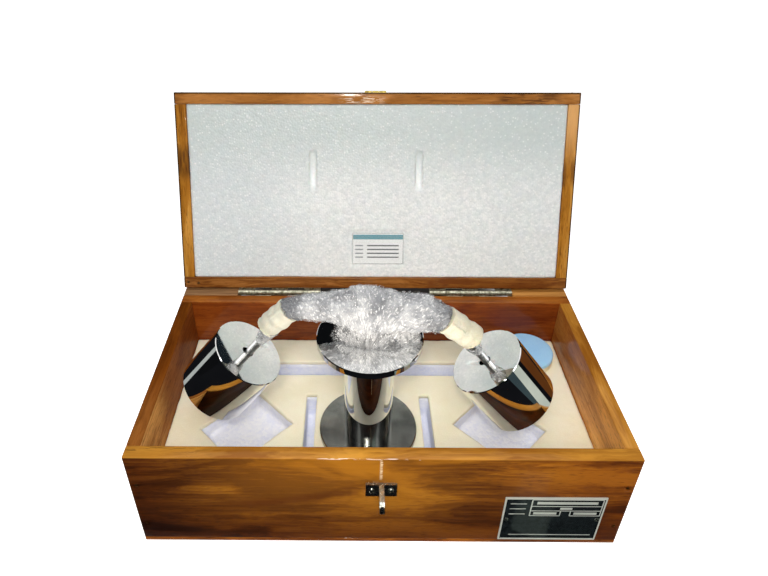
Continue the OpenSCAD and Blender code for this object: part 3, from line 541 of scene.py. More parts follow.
def zinc_plate(name, light="#d5d5c8", dark="#8e8e82", roughness=0.24):
    """Bright zinc, plated on pressed steel: a soft gloss, a slight yellow and small dull spots."""
    surface, tree, skin = new_surface(name, Metallic=1.0)
    place = add(tree, "TexCoord")
    spots = add(tree, "TexNoise", {"Vector": place, "Scale": 1000 / 2.5, "Detail": 4.0})
    tint = add(tree, "ValToRGB", {"Fac": spots}, stops=[(0.30, dark), (0.60, light)])
    dull = add(tree, "MapRange", {"Value": spots, "From Min": 0.7, "From Max": 0.3, "To Min": roughness * 0.8,
                                  "To Max": roughness * 1.6})
    bump = add(tree, "Bump", {"Height": spots, "Distance": 0.00005, "Strength": 0.4})
    dress(skin, Base_Color=tint, Roughness=dull, Normal=bump)
    return surface


def crumpled_film(name, clear, milky, grey, white, ends=True):
    """Clear polyethylene film, wound on by hand in many turns: silver grey, with wrinkles that fan out from
    where it is gathered under the bar, each with a thin painted white glint along its ridge, painted shade in
    the valleys of the folds, and smoky at both ends. Its alpha runs from clear to milky with the number of
    layers."""
    surface, tree, skin = new_surface(name, Roughness=0.12, IOR=1.52, Specular_IOR_Level=0.9)
    place = add(tree, "TexCoord")
    here = add(tree, "SeparateXYZ", {0: place})
    # The fan: its angle about the gathering point, and the distance from it
    across = add(tree, "Math", {0: here.outputs["X"], 1: 0.0125}, operation="ADD")
    upward = add(tree, "Math", {0: here.outputs["Z"], 1: 0.140}, operation="SUBTRACT")
    angle = add(tree, "Math", {0: upward, 1: across}, operation="ARCTAN2")
    reach = add(tree, "VectorMath", {0: add(tree, "CombineXYZ", {0: across, 2: upward})},
                operation="LENGTH").outputs["Value"]
    fan = add(tree, "CombineXYZ", {0: product(tree, angle, 9.0), 1: product(tree, reach, 1000 / 16),
                                   2: product(tree, here.outputs["Y"], 1000 / 7)})
    crumple = add(tree, "TexNoise", {"Vector": place, "Scale": 1000 / 7, "Detail": 2.0}).outputs["Color"]
    crumple = add(tree, "VectorMath", {0: crumple, 1: (0.5, 0.5, 0.5)}, operation="MULTIPLY")
    fan = add(tree, "VectorMath", {0: fan, 1: crumple}, operation="ADD")
    # Folds about 4 mm apart at the outside of the fan, and hair wrinkles between them
    folds = add(tree, "TexNoise", {"Vector": fan, "Scale": 1.0, "Detail": 5.0, "Roughness": 0.62})
    wrinkles = add(tree, "TexNoise", {"Vector": fan, "Scale": 4.6, "Detail": 3.0, "Roughness": 0.6})
    layers = add(tree, "TexNoise", {"Vector": place, "Scale": 1000 / 14, "Detail": 3.0})
    # Painted glints along the ridges of the folds and wrinkles, and painted shade in the valleys of the folds
    ridge = smooth_step(tree, folds, 0.60, 0.68, 0.0, 0.6)
    hair = smooth_step(tree, wrinkles, 0.585, 0.63, 0.0, 0.9)
    painted_ridge_glints = add(tree, "Math", {0: ridge, 1: hair}, operation="MAXIMUM")
    valley_shade = smooth_step(tree, folds, 0.47, 0.36, 0.0, 0.6)
    body = add(tree, "ValToRGB", {"Fac": layers}, stops=[(0.34, grey), (0.66, white)])
    body = tinted(tree, valley_shade, body, "#83868a")
    colour = tinted(tree, painted_ridge_glints, body, "#fafbfc")
    if ends:
        left_end = smooth_step(tree, here.outputs["X"], -0.052, -0.066, 0.0, 0.6)
        right_end = smooth_step(tree, here.outputs["X"], 0.030, 0.046, 0.0, 0.5)
        smoky = add(tree, "Math", {0: left_end, 1: right_end}, operation="MAXIMUM")
        colour = tinted(tree, smoky, colour, "#55585e")
    thick = smooth_step(tree, layers, 0.35, 0.6, clear, milky)
    alpha = add(tree, "Math", {0: thick, 1: product(tree, painted_ridge_glints, 0.9)}, operation="MAXIMUM")
    low = add(tree, "Bump", {"Height": folds, "Distance": 0.0022, "Strength": 0.8})
    bump = add(tree, "Bump", {"Height": wrinkles, "Distance": 0.0012, "Strength": 0.9, "Normal": low})
    dress(skin, Base_Color=colour, Alpha=alpha, Normal=bump)
    return surface


def anodised_nameplate():
    """Aluminium sheet, anodised black, with its border, its fields and its rules left bright. No words."""
    surface, tree, skin = new_surface("black anodised aluminium")
    low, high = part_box("nameplate")
    here = add(tree, "SeparateXYZ", {0: add(tree, "TexCoord")})
    u = add(tree, "MapRange", {"Value": here.outputs["X"], "From Min": low.x, "From Max": high.x}, clamp=False)
    v = add(tree, "MapRange", {"Value": here.outputs["Z"], "From Min": low.z, "From Max": high.z}, clamp=False)
    # Each bright bar, given by its middle and half width across and up the plate
    bars = [(0.62, 0.350, 0.955, 0.009), (0.62, 0.350, 0.805, 0.008), (0.62, 0.350, 0.700, 0.008),
            (0.27, 0.006, 0.82, 0.125), (0.97, 0.006, 0.82, 0.125),
            (0.42, 0.150, 0.585, 0.008), (0.27, 0.005, 0.64, 0.060), (0.57, 0.005, 0.64, 0.060),
            (0.82, 0.150, 0.585, 0.008), (0.67, 0.005, 0.64, 0.060), (0.97, 0.005, 0.64, 0.060),
            (0.62, 0.300, 0.880, 0.030), (0.62, 0.060, 0.752, 0.024), (0.42, 0.115, 0.640, 0.026),
            (0.82, 0.115, 0.640, 0.026), (0.14, 0.080, 0.860, 0.009), (0.14, 0.080, 0.745, 0.009),
            (0.14, 0.080, 0.625, 0.009), (0.52, 0.420, 0.120, 0.009)]
    bright = None
    for u_mid, u_half, v_mid, v_half in bars:
        across = add(tree, "Math", {0: u, 1: u_mid, 2: u_half}, operation="COMPARE")
        upward = add(tree, "Math", {0: v, 1: v_mid, 2: v_half}, operation="COMPARE")
        bar = product(tree, across, upward)
        bright = bar if bright is None else add(tree, "Math", {0: bright, 1: bar}, operation="MAXIMUM")
    inner_u = add(tree, "Math", {0: u, 1: 0.5, 2: 0.484}, operation="COMPARE")
    inner_v = add(tree, "Math", {0: v, 1: 0.5, 2: 0.467}, operation="COMPARE")
    border = add(tree, "Math", {0: 1.0, 1: product(tree, inner_u, inner_v)}, operation="SUBTRACT")
    bright = add(tree, "Math", {0: product(tree, bright, 0.85), 1: border}, operation="MAXIMUM")
    wear = add(tree, "TexNoise", {"Vector": add(tree, "TexCoord"), "Scale": 1000 / 3, "Detail": 5.0})
    black = add(tree, "ValToRGB", {"Fac": wear}, stops=[(0.35, "#0d1011"), (0.7, "#20282a")])
    rough = add(tree, "MapRange", {"Value": bright, "To Min": 0.14, "To Max": 0.36})
    colour = tinted(tree, bright, black, "#dfe4da")
    dress(skin, Base_Color=colour, Metallic=product(tree, bright, 0.35), Roughness=rough)
    return surface


def ruled_card():
    """White card, laser printed: a teal band across its head and four ruled entries that are left blank."""
    surface, tree, skin = new_surface("white card", Roughness=0.45)
    place = add(tree, "TexCoord")
    flat = add(tree, "Mapping", {"Vector": place, "Rotation": (LID_ANGLE, 0, 0)})
    here = add(tree, "SeparateXYZ", {0: flat})
    low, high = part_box("label_card")
    lid_turn = Matrix.Rotation(LID_ANGLE, 4, "X")
    edges = sorted((lid_turn @ Vector((0, y, z))).y for y, z in ((low.y, low.z), (high.y, high.z)))
    v = add(tree, "MapRange", {"Value": here.outputs["Y"], "From Min": edges[0], "From Max": edges[1]})
    colour = add(tree, "ValToRGB", {"Fac": v}, stops=[(0.0, "#fbfcfc"), (0.03, "#3f97a6"), (0.19, "#fbfcfc")])
    colour.color_ramp.interpolation = "CONSTANT"
    u = add(tree, "MapRange", {"Value": here.outputs["X"], "From Min": low.x, "From Max": high.x}, clamp=False)
    for at in (0.40, 0.53, 0.66, 0.79):
        upright = add(tree, "Math", {0: v, 1: at, 2: 0.022}, operation="COMPARE")
        line = add(tree, "Math", {0: u, 1: 0.60, 2: 0.32}, operation="COMPARE")
        colour = tinted(tree, product(tree, upright, line), colour, "#3c4145")
        stub = add(tree, "Math", {0: u, 1: 0.12, 2: 0.08}, operation="COMPARE")
        colour = tinted(tree, product(tree, upright, stub), colour, "#8c9296")
    dress(skin, Base_Color=colour)
    return surface


# Painted shade darkens the front board towards its left end, its right end, its bottom and its inner face
front_wood = varnished_wood("amber varnished pine, front", seed=(0.04, 0, 0.012), rim=0.85,
                            marks=front_board_marks, shades=("#643607", "#90560c", "#b57616"), coat=0.5,
                            spread=0.09,
                            painted_shade_fades=(("X", -0.175, -0.085, "#a08646"), ("Z", 0.0, 0.080, "#ae9270"),
                                   ("X", 0.16, 0.03, "#ead0ac"),
                                   ("Y", -HALF_D + WALL - 0.0001, -HALF_D + WALL - 0.0009, "#8c6a52")))
back_wood = varnished_wood("amber varnished pine, back", seed=(0.31, 0.04, 0.06), rim=0.2,
                           shades=("#66290a", "#874012", "#a2551d"))
# Painted shade darkens the left end towards the back
left_wood = varnished_wood("amber varnished pine, left end", along="Y", seed=(0.02, 0.13, 0.09), rim=0.9,
                           gloss=0.02, coat=0.08, bare=("#4c2404", "#7e420c"),
                           shades=("#a6662e", "#d2924a", "#eeb464"),
                           painted_shade_fades=(("Y", -0.005, -0.060, "#a48576"),))
# Painted shade darkens the right end towards the back
right_wood = varnished_wood("amber varnished pine, right end", along="Y", seed=(0.12, 0.03, 0.19), rim=0.8,
                            gloss=0.05, bare=("#8e5612", "#cc9036"), shades=("#b4722c", "#de9844", "#f4b45c"),
                            painted_shade_fades=(("Y", 0.050, -0.050, "#c0a898"),))
base_wood = varnished_wood("amber varnished pine, base", seed=(0.09, 0.22, 0.0))
lid_wood = varnished_wood("amber varnished pine, lid rails", on_lid=True, seed=(0.15, 0.07, 0.033),
                          shades=("#764218", "#9a6228", "#b87c3e"), marks=lid_rail_marks)
lid_side_wood = varnished_wood("amber varnished pine, lid ends", along="Y", on_lid=True,
                               seed=(0.015, 0.3, 0.01), shades=("#86500e", "#b07424", "#cf9644"),
                               marks=lid_end_marks)
lid_board_wood = varnished_wood("amber varnished pine, lid board", on_lid=True, seed=(0.5, 0.02, 0.2))
left_stop_wood = bare_timber("sawn pine, left block", "#a57c52", "#6b4a2c")
right_stop_wood = bare_timber("sawn pine, right block", "#cf9248", "#99601f")
lid_foam_skin = lid_foam_cells("expanded polyethylene foam, lid")
tray_foam_skin = tray_foam_cells("expanded polyethylene foam, tray", "#f7f9ff", "#e4e8fa")
cream_skin = soft_foam("cream polyurethane foam, tray", "#f8f2da", "#eee6c8")
sleeve_skin = soft_foam("cream polyurethane foam, right sleeve", "#e2dfce", "#cfc8ac")
# The left sleeve's foam is a darker copy of the right one's: painted shade
shaded_left_sleeve_skin = soft_foam("cream polyurethane foam, left sleeve", "#cfcdbd", "#bab59f")
blue_skin = soft_foam("blue polyurethane foam", "#a8d8fc", "#98caf4", backing="#efe6c4")
chrome = mirror_chrome("chromium plate")
weight_chrome = mirror_chrome("chromium plate, weights", "#fcfaf6", bores=(LEFT_ARM, RIGHT_ARM))
rod_chrome = mirror_chrome("chromium plate, bar", "#f4f4f2", roughness=0.36)
ball_steel = mirror_chrome("bearing steel", "#cfcfd1", 0.05)
grey_steel = turned_steel("turned steel", "#8f8f88", "#6f6f6a")
zinc = zinc_plate("zinc plate")
yellow_zinc = zinc_plate("yellow passivated zinc plate", "#d8c06a", "#9a8440")
nail_steel = zinc_plate("drawn steel", "#9c7a4c", "#6b4a26", 0.5)
hinge_zinc = zinc_plate("zinc plate, hinges", "#dcdac2", "#98947a", 0.42)
pin_steel = zinc_plate("drawn steel pin", "#a8a496", "#77756a", 0.35)
black_steel = zinc_plate("blackened steel", "#343436", "#1c1c1e", 0.45)
film_skin = crumpled_film("polyethylene film, wound", 0.75, 1.0, "#92959a", "#c2c4c7")
outer_film_skin = crumpled_film("polyethylene film, last turn", 0.03, 0.22, "#c4c6ca", "#eceded")
edge_film_skin = crumpled_film("polyethylene film, loose edge", 0.02, 0.34, "#b9bbbf", "#e6e7e8")
tag_film_skin = crumpled_film("polyethylene film, tags", 0.15, 0.70, "#8f9296", "#d8dadb", ends=False)
plate_skin = anodised_nameplate()
card_skin = ruled_card()
# Clear vinyl, welded: seen only by its gloss
pouch_skin, pouch_tree, pouch = new_surface("clear vinyl", Roughness=0.08, Alpha=0.16)
pouch_tone = add(pouch_tree, "TexNoise", {"Vector": add(pouch_tree, "TexCoord"), "Scale": 1000 / 9})
pouch_tint = add(pouch_tree, "ValToRGB", {"Fac": pouch_tone}, stops=[(0.3, "#e4eaee"), (0.7, "#f8fafb")])
dress(pouch, Base_Color=pouch_tint)

for node_name, surface in {
    "staple": zinc, "staple_screws": zinc, "nameplate": plate_skin, "nameplate_rivets": zinc,
    "left_hinge_case_leaf": hinge_zinc, "right_hinge_case_leaf": hinge_zinc,
    "left_hinge_lid_leaf": hinge_zinc, "right_hinge_lid_leaf": hinge_zinc,
    "left_hinge_pin": pin_steel, "right_hinge_pin": pin_steel,
    "case_leaf_screws": zinc, "lid_leaf_screws": zinc, "hasp_leaf": yellow_zinc,
    "hasp_leaf_screws": yellow_zinc, "hasp_pin": pin_steel, "hasp_strap": yellow_zinc,
    "label_sleeve": pouch_skin, "label_card": card_skin,
    "support_base": grey_steel, "support_column": chrome, "support_top": chrome, "support_screw": pin_steel,
    "yoke_bar": rod_chrome, "yoke_boss": rod_chrome, "yoke_set_screw": black_steel, "ball_stem": rod_chrome,
    "stem_nut": zinc, "steel_ball": ball_steel, "left_weight": weight_chrome, "right_weight": weight_chrome,
}.items():
    nodes[node_name].data.materials.clear()
    nodes[node_name].data.materials.append(surface)
    take(nodes[node_name])
    bpy.ops.object.shade_smooth_by_angle(angle=math.radians(30))


# The case

def case_board(name, replaced, low, high, surface):
    piece = cube_between(low, high)
    ease_edges(piece, 0.0007)
    finish_piece(piece, name, surface, "case", replaced)


case_board("case_base", ["base_board"], (-HALF_W, -HALF_D, 0), (HALF_W, HALF_D, BOARD - 0.0001), base_wood)
case_board("case_front", ["front_panel"], (-HALF_W, -HALF_D, BOARD), (HALF_W, -HALF_D + WALL, CASE_H),
           front_wood)
case_board("case_back", ["back_panel"], (-HALF_W, HALF_D - WALL, BOARD), (HALF_W, HALF_D, CASE_H), back_wood)
for side, name in ((-1, "left"), (1, "right")):
    ends = sorted((side * HALF_W, side * (HALF_W - WALL)))
    case_board("case_" + name, [name + "_panel"], (ends[0], -HALF_D + WALL + 0.0001, BOARD),
               (ends[1], HALF_D - WALL - 0.0001, CASE_H), left_wood if side < 0 else right_wood)
for name, surface in (("left", left_stop_wood), ("right", right_stop_wood)):
    stop = merged_copy(name + "_lid_stop")
    ease_edges(stop, 0.0005, 2)
    finish_piece(stop, name + "_stop_block", surface, "case", [name + "_lid_stop"])


def nail_heads(name, replaced, spots, body, place=None):
    """Flat nail heads, a little dished and proud of the wood by a hair."""
    deselect()
    bpy.ops.mesh.primitive_cylinder_add(vertices=24, radius=0.0013, depth=0.0008, location=(0, 0, -0.00032))
    first = bpy.context.object
    settle(first)
    select_vertices(first, lambda co: False)
    bpy.ops.mesh.select_mode(type="FACE")
    bpy.ops.object.mode_set(mode="OBJECT")
    for face in first.data.polygons:
        face.select = face.normal.z > 0.9
    bpy.ops.object.mode_set(mode="EDIT")
    bpy.ops.mesh.inset(thickness=0.0003)
    bpy.ops.transform.translate(value=(0, 0, 0.00006))
    bpy.ops.mesh.inset(thickness=0.0005)
    bpy.ops.transform.translate(value=(0, 0, -0.00005))
    bpy.ops.object.mode_set(mode="OBJECT")
    made = []
    for spot, axis in spots:
        head = first.copy()
        head.data = first.data.copy()
        bpy.context.scene.collection.objects.link(head)
        head.rotation_mode = "QUATERNION"
        head.rotation_quaternion = Vector(axis).to_track_quat("Z", "Y")
        head.location = spot
        settle(head)
        made.append(head)
    bpy.data.objects.remove(first)
    deselect()
    for head in made:
        head.select_set(True)
    bpy.context.view_layer.objects.active = made[0]
    bpy.ops.object.join()
    heads = bpy.context.object
    if place is not None:
        heads.matrix_world = place
    finish_piece(heads, name, nail_steel, body, replaced)


nail_x = HALF_W - WALL / 2
case_nails = [((end * nail_x, face * HALF_D, z * CASE_H), (0, face, 0))
              for end in (-1, 1) for face in (-1, 1) for z in (0.23, 0.69)]
nail_heads("case_nail_heads", ["panel_nails"], case_nails, "case")


# The lid, modelled shut and then opened

def opened(piece, name, surface, replaced, angle=35):
    piece.matrix_world = LID_OPEN @ piece.matrix_world
    finish_piece(piece, name, surface, "lid", replaced, angle)


hasp_recess = ((-0.01006, -HALF_D - 0.001, 0.10844), (0.01006, -HALF_D + 0.0027, 0.1355))
lid_parts = [
    ("lid_front", "lid_front_rail", (-HALF_W, -HALF_D, CASE_H), (HALF_W, -HALF_D + WALL, RAIL_TOP),
     lid_wood, True),
    ("lid_back", "lid_back_rail", (-HALF_W, HALF_D - WALL, CASE_H), (HALF_W, HALF_D, RAIL_TOP), lid_wood,
     False),
    ("lid_left", "lid_left_rail", (-HALF_W, -HALF_D + WALL + 0.0001, CASE_H),
     (-HALF_W + WALL, HALF_D - WALL - 0.0001, RAIL_TOP), lid_side_wood, False),
    ("lid_right", "lid_right_rail", (HALF_W - WALL, -HALF_D + WALL + 0.0001, CASE_H),
     (HALF_W, HALF_D - WALL - 0.0001, RAIL_TOP), lid_side_wood, False),
    ("lid_top", "lid_board", (-HALF_W, -HALF_D, RAIL_TOP + 0.0001), (HALF_W, HALF_D, CASE_H + LID_H),
     lid_board_wood, True),
]
for name, replaced, low, high, surface, recessed in lid_parts:
    piece = cube_between(low, high)
    if recessed:
        cut_away(piece, cube_between(*hasp_recess))
    ease_edges(piece, 0.0007)
    opened(piece, name, surface, [replaced])

lid_nails = [((end * nail_x, face * HALF_D, CASE_H + share * (LID_H - BOARD)), (0, face, 0))
             for end in (-1, 1) for face in (-1, 1) for share in (0.3, 0.75)]
lid_nails += [((-HALF_W + 0.004, HALF_D - 0.0055, CASE_H), (0, 0, -1)),
              ((-HALF_W + 0.0135, HALF_D - 0.0045, CASE_H), (0, 0, -1))]
nail_heads("lid_nail_heads", ["lid_nails"], lid_nails, "lid", LID_OPEN)

# The foam in the lid: a block cut a little ragged, pressed against the wood all round, with two long dents
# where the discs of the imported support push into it, and pressed flat behind the label.
lid_foam = cube_between((-HALF_W + WALL + 0.0001, -HALF_D + WALL + 0.0001, CASE_H + 0.0012),
                        (HALF_W - WALL - 0.0001, HALF_D - WALL - 0.0001, RAIL_TOP - 0.0001))
ease_edges(lid_foam, 0.0012, 2)
dent_radius, dent_depth, dent_width = 0.040, 0.0046, 0.0060
for dent_x in (-0.0565, 0.0385):
    deselect()
    bpy.ops.mesh.primitive_cylinder_add(vertices=96, radius=dent_radius, depth=dent_width,
                                        rotation=(0, math.radians(90), 0),
                                        location=(dent_x, -0.0205, CASE_H + 0.0012 + dent_depth - dent_radius))
    press = bpy.context.object
    settle(press)
    ease_edges(press, 0.0012, 2)
    cut_away(lid_foam, press)
remesh(lid_foam, 0.0015)
lid_foam.name = "lid_foam_block"
relief(lid_foam, "CLOUDS", 0.035, 0.0008)
relief(lid_foam, "CLOUDS", 0.006, 0.0004)
label_low, label_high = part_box("label_sleeve")
label_edges = [(LID_OPEN.inverted() @ Vector((0, y, z))).y for y in (label_low.y, label_high.y)
               for z in (label_low.z, label_high.z)]
select_vertices(lid_foam, lambda co: co.z < CASE_H + 0.004 and label_low.x - 0.001 < co.x < label_high.x + 0.001
                and min(label_edges) - 0.001 < co.y < max(label_edges) + 0.001)
bpy.ops.transform.translate(value=(0, 0, 0.0007))
bpy.ops.object.mode_set(mode="OBJECT")
opened(lid_foam, "lid_foam_block", lid_foam_skin, ["lid_foam"], 180)


# The tray

tray_block = merged_copy("tray_block")
remesh(tray_block, 0.0022)
tray_block.name = "tray_foam_block"
relief(tray_block, "CLOUDS", 0.012, 0.0009)
finish_piece(tray_block, "tray_foam_block", tray_foam_skin, "case", ["tray_block"], 180)

tray_sheet = merged_copy("tray_sheet")
remesh(tray_sheet, 0.0014)
tray_sheet.name = "tray_foam_sheet"
relief(tray_sheet, "CLOUDS", 0.03, 0.0010)
relief(tray_sheet, "CLOUDS", 0.005, 0.0006)
finish_piece(tray_sheet, "tray_foam_sheet", cream_skin, "case", ["tray_sheet"], 180)

pad_low, pad_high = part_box("blue_pad")
deselect()
bpy.ops.mesh.primitive_cylinder_add(vertices=96, radius=(pad_high.x - pad_low.x) / 2,
                                    depth=pad_high.z - pad_low.z, location=(pad_low + pad_high) / 2)
blue_pad = bpy.context.object
settle(blue_pad)
ease_edges(blue_pad, 0.0012)
remesh(blue_pad, 0.0012)
blue_pad.name = "blue_foam_pad"
relief(blue_pad, "CLOUDS", 0.008, 0.0005)
finish_piece(blue_pad, "blue_foam_pad", blue_skin, "case", ["blue_pad"], 180)


# The soft wrappings of the yoke

# Voronoi cells that draw sharp creases
FOLDS = {"weight_1": -1.0, "weight_2": 1.0, "noise_intensity": 1.6}

# Each sleeve is squeezed in at its lower end, where the film was pulled tight, and has soft creases across it.
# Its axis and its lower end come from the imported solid's ends.
for side, low_end, slope, squeeze in (("left", (-0.0960, 0.0, 0.1560), (0.72, 0.0, 0.69), 0.0020),
                                      ("right", (0.0800, 0.0, 0.1520), (-0.72, 0.0, 0.69), 0.0016)):
    sleeve = merged_copy(side + "_sleeve")
    remesh(sleeve, 0.0007)
    sleeve.name = side + "_foam_sleeve"
    along = [(vertex.co - Vector(low_end)).dot(Vector(slope)) for vertex in sleeve.data.vertices]
    lowest, length = min(along), max(along) - min(along)
    for share, depth in ((0.0, squeeze), (0.42, 0.0007), (0.75, 0.0005)):
        here = Vector(low_end) + (lowest + share * length) * Vector(slope)
        select_vertices(sleeve, lambda co: abs((co - here).dot(Vector(slope))) < 0.0008)
        bpy.ops.transform.shrink_fatten(value=-depth, use_proportional_edit=True,
                                        proportional_edit_falloff="SMOOTH",
                                        proportional_size=0.010 if share == 0 else 0.004)
        bpy.ops.object.mode_set(mode="OBJECT")
    relief(sleeve, "CLOUDS", 0.010, 0.0014)
    relief(sleeve, "CLOUDS", 0.0045, 0.0008)
    finish_piece(sleeve, side + "_foam_sleeve", shaded_left_sleeve_skin if side == "left" else sleeve_skin,
                 "loader", [side + "_sleeve"], 180)

film = merged_copy("film_wrap")
film.name = "film_bundle"
remesh(film, 0.0008)
# Folds that run with the bar: the bundle is squeezed along X, displaced, and drawn out again
squeezed = 0.45
film.scale = (squeezed, 1, 1)
settle(film)
relief(film, "CLOUDS", 0.009, 0.0036)
relief(film, "VORONOI", 0.0055, 0.0020, **FOLDS)
film.scale = (1 / squeezed, 1, 1)
settle(film)
outer_film = film.copy()
outer_film.data = film.data.copy()
bpy.context.scene.collection.objects.link(outer_film)
relief(film, "VORONOI", 0.0040, 0.0012, **FOLDS)
finish_piece(film, "film_bundle", film_skin, "loader", ["film_wrap"], 25)

outer_film.name = "film_last_turn"
apply_modifier(outer_film, "DISPLACE", strength=0.0011, mid_level=0.0)
relief(outer_film, "VORONOI", 0.0062, 0.0022, **FOLDS)
relief(outer_film, "CLOUDS", 0.004, 0.0014)
finish_piece(outer_film, "film_last_turn", outer_film_skin, "loader", (), 25)


def loose_film(name, middle, low_ring, high_ring, height, lean=None):
    """An open tube of film between two rings, each given by its half width and half depth."""
    deselect()
    bpy.ops.mesh.primitive_circle_add(vertices=128, radius=1.0, fill_type="NOTHING", location=(0, 0, 0))
    tube = bpy.context.object
    tube.name = name
    tube.scale = (low_ring[0], low_ring[1], 1.0)
    settle(tube)
    bpy.ops.object.mode_set(mode="EDIT")
    bpy.ops.mesh.select_all(action="SELECT")
    bpy.ops.mesh.extrude_region_move(TRANSFORM_OT_translate={"value": (0, 0, height)})
    bpy.ops.transform.resize(value=(high_ring[0] / low_ring[0], high_ring[1] / low_ring[1], 1.0),
                             center_override=(0, 0, height))
    bpy.ops.mesh.select_all(action="SELECT")
    for _ in range(3):
        bpy.ops.mesh.subdivide(number_cuts=1)
    bpy.ops.mesh.normals_make_consistent(inside=False)
    bpy.ops.object.mode_set(mode="OBJECT")
    tube.matrix_world = Matrix.Translation(middle) @ (lean or Matrix())
    settle(tube)
    return tube


# The loose edge of the film, which hangs round the stem and just touches the disc
disc_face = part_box("support_top")[1].z
hanging = loose_film("film_hanging_edge", (-0.0038, -0.0270, disc_face - 0.0006), (0.0330, 0.0150),
                     (0.0270, 0.0090), 0.0180)
relief(hanging, "CLOUDS", 0.005, 0.0040)
relief(hanging, "VORONOI", 0.0040, 0.0024, **FOLDS)
apply_modifier(hanging, "SOLIDIFY", thickness=0.0003, offset=0.0)
finish_piece(hanging, "film_hanging_edge", edge_film_skin, "loader", (), 25)

# Tags of film round the bar, under each sleeve
for name, foot, up, start, height, low_r, high_r in (
        ("film_tag_left", *LEFT_ARM, 0.0150, 0.0150, 0.0038, 0.0062),
        ("film_tag_right", *RIGHT_ARM, 0.0105, 0.0080, 0.0037, 0.0058)):
    lean = up.to_track_quat("Z", "Y").to_matrix().to_4x4()
    tag = loose_film(name, foot + start * up, (low_r, low_r), (high_r, high_r), height, lean)
    relief(tag, "CLOUDS", 0.0035, 0.0012)
    apply_modifier(tag, "SOLIDIFY", thickness=0.0002, offset=1.0)
    finish_piece(tag, name, tag_film_skin, "loader", (), 25)


# Floor, lamps and world

def white_to_eyes(tree):
    """1 for what the camera, a mirror or clear film sees, and 0 for the light that falls on things."""
    path = add(tree, "LightPath")
    both = add(tree, "Math", {0: path.outputs["Is Glossy Ray"], 1: path.outputs["Is Transmission Ray"]},
               operation="ADD")
    return add(tree, "Math", {0: path.outputs["Is Camera Ray"], 1: both}, operation="ADD", use_clamp=True)


def stage_surface(name):
    surface = bpy.data.materials.new(name)
    surface.use_nodes = True
    surface.node_tree.nodes.clear()
    return surface, surface.node_tree


deselect()
bpy.ops.mesh.primitive_plane_add(size=8, location=(0, 0, -0.0003))
floor = bpy.context.object
floor.name = "pale_floor"
floor_skin, tree = stage_surface("pale paper")
# The paper under the leaning lid lies in its shade
here = add(tree, "SeparateXYZ", {0: add(tree, "TexCoord")})
shade = product(tree, band(tree, here.outputs["X"], 0.0, 0.115, 0.075),
                smooth_step(tree, here.outputs["Y"], 0.29, 0.205),
                smooth_step(tree, here.outputs["Y"], 0.080, 0.090))
paper = add(tree, "ValToRGB", {"Fac": shade}, stops=[(0.0, "#f8f8f8"), (0.5, "#7c7a78"), (1.0, "#38342f")])
matt = add(tree, "BsdfDiffuse", {"Color": paper})
glow = add(tree, "Emission", {"Color": "#ffffff", "Strength": smooth_step(tree, shade, 0.0, 0.8, 0.84, 0.0)})
lifted = add(tree, "AddShader", {0: matt, 1: glow})
shown = add(tree, "MixShader", {0: white_to_eyes(tree), 1: matt, 2: lifted})
add(tree, "OutputMaterial", {"Surface": shown})
floor.data.materials.append(floor_skin)

world = bpy.data.worlds.new("pale studio")
bpy.context.scene.world = world
world.use_nodes = True
tree = world.node_tree
tree.nodes.clear()
backdrop = add(tree, "Background", {"Color": "#ffffff", "Strength": 1.0})
sky = add(tree, "Background", {"Color": "#ffffff", "Strength": 0.30})
both = add(tree, "MixShader", {0: white_to_eyes(tree), 1: sky, 2: backdrop})
add(tree, "OutputWorld", {"Surface": both})


def studio_card(name, low, high, colour, turn=0.0, lean=None):
    """A thin card that only mirrors see, as a studio sets round chrome to draw its bands."""
    card = cube_between(low, high)
    if turn:
        card.matrix_world = (Matrix.Translation(low) @ Matrix.Rotation(math.radians(turn), 4, "Z")
                             @ Matrix.Translation(-Vector(low)))
        settle(card)
    if lean is not None:
        card.matrix_world = lean
        settle(card)
    card.name = name
    velvet, tree = stage_surface(name)
    shown = add(tree, "Emission", {"Color": colour, "Strength": 1.0})
    add(tree, "OutputMaterial", {"Surface": shown})
    card.data.materials.append(velvet)
    for ray in ("camera", "diffuse", "transmission", "volume_scatter", "shadow"):
        setattr(card, "visible_" + ray, False)


# A black table and a black room, with a pale strip of table left bare beside the case
studio_card("table_front", (-2, -2, 0.0003), (2, -0.0895, 0.0004), "#121316")
studio_card("table_left", (-2, -0.0895, 0.0003), (-0.19, 1.2, 0.0004), "#121316")
studio_card("table_right", (0.19, -0.0895, 0.0003), (2, 1.2, 0.0004), "#121316")
studio_card("room_left", (-1.001, -1.3, 0), (-1.0, 1.2, 1.6), "#0e0f11")
studio_card("room_right", (1.0, -1.3, 0), (1.001, 1.2, 1.6), "#0e0f11")
studio_card("room_back", (-1.0, 1.2, 0), (1.0, 1.201, 1.6), "#0e0f11")
studio_card("room_front", (-1.0, -1.301, 0), (1.0, -1.3, 1.6), "#0e0f11")
# High on the front wall, a grey ceiling line and a pale window, which the foot of the column shows
studio_card("room_front_high", (-1.0, -1.301, 1.6), (1.0, -1.3, 3.4), "#454b47")
studio_card("high_window", (0.45, -1.299, 1.5), (0.85, -1.298, 3.3), "#b9c8bf")
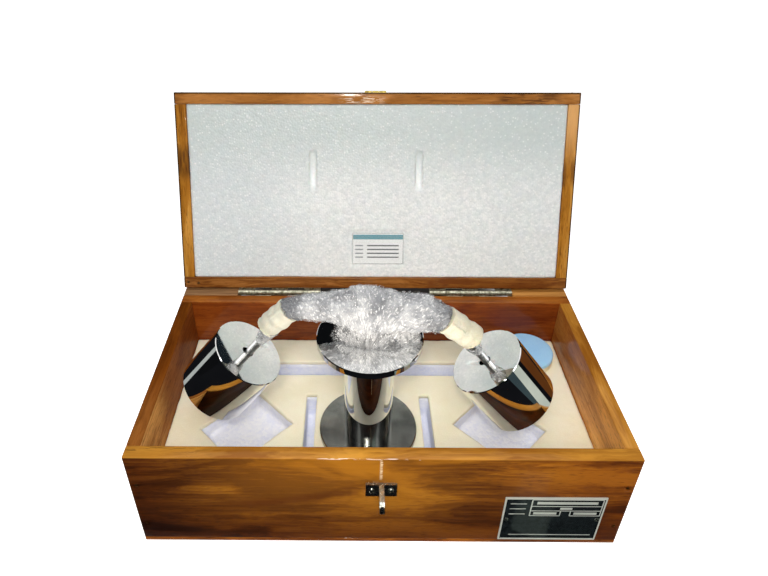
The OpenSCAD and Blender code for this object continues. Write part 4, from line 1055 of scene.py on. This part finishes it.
# What the weights mirror on either hand
studio_card("left_strip", (-0.4505, 0.030, 0.02), (-0.45, 0.100, 0.5), "#aeb4b2")
studio_card("right_strip", (0.45, -0.21, 0.0), (0.4505, -0.07, 0.5), "#c2c9bd")
studio_card("right_shade", (0.45, -0.40, 0.0), (0.4505, -0.21, 0.5), "#38464a")
studio_card("right_cupboard", (0.45, 0.0, 0.0), (0.4505, 0.35, 0.5), "#5d3517")
# A dark card over the far end of the lid foam and a little beyond it, seen only by mirrors: a painted dark
# reflection in the left weight's face
studio_card("lid_shade", (0.005, -0.100, 0.0925), (0.165, -0.061, 0.0930), "#1a2126", lean=LID_OPEN)
# A pale doorway, mirrored in the varnish and the nameplate
studio_card("doorway", (0.124, -0.0895, 0.0005), (0.149, 0.0, 0.0006), "#7d8a80", turn=-152)


def soft_lamp(name, place, aim, size, power, colour="#ffffff"):
    lamp_data = bpy.data.lights.new(name, "AREA")
    lamp_data.shape = "RECTANGLE"
    lamp_data.size, lamp_data.size_y = size
    lamp_data.energy = power
    lamp_data.color = linear(colour)[:3]
    lamp = bpy.data.objects.new(name, lamp_data)
    bpy.context.scene.collection.objects.link(lamp)
    lamp.location = place
    lamp.rotation_euler = (Vector(aim) - Vector(place)).to_track_quat("-Z", "Y").to_euler()
    return lamp


camera_lamp = soft_lamp("camera_lamp", (-0.02, -0.46, 0.60), (0, 0.0, 0.10), (0.22, 0.22), 2.3, "#fffaf2")
camera_lamp.visible_glossy = False
soft_lamp("top_lamp", (0.0, -0.1, 1.3), (0, 0, 0.0), (0.7, 0.7), 3.6, "#f4f8ff")
# A small bare bulb beside the camera, for the glints
soft_lamp("glint_lamp", (-0.05, -0.44, 0.60), (0, 0.0, 0.10), (0.04, 0.04), 0.85, "#fffaf2")
# The light that the pale tray and rim throw up under the film
tray_light = soft_lamp("tray_light", (-0.010, -0.088, 0.150), (-0.010, -0.0265, 0.160), (0.09, 0.012), 0.062,
                       "#fff6ea")
tray_light.visible_camera = False
tray_light.visible_glossy = False

bpy.context.scene.view_settings.view_transform = "Standard"
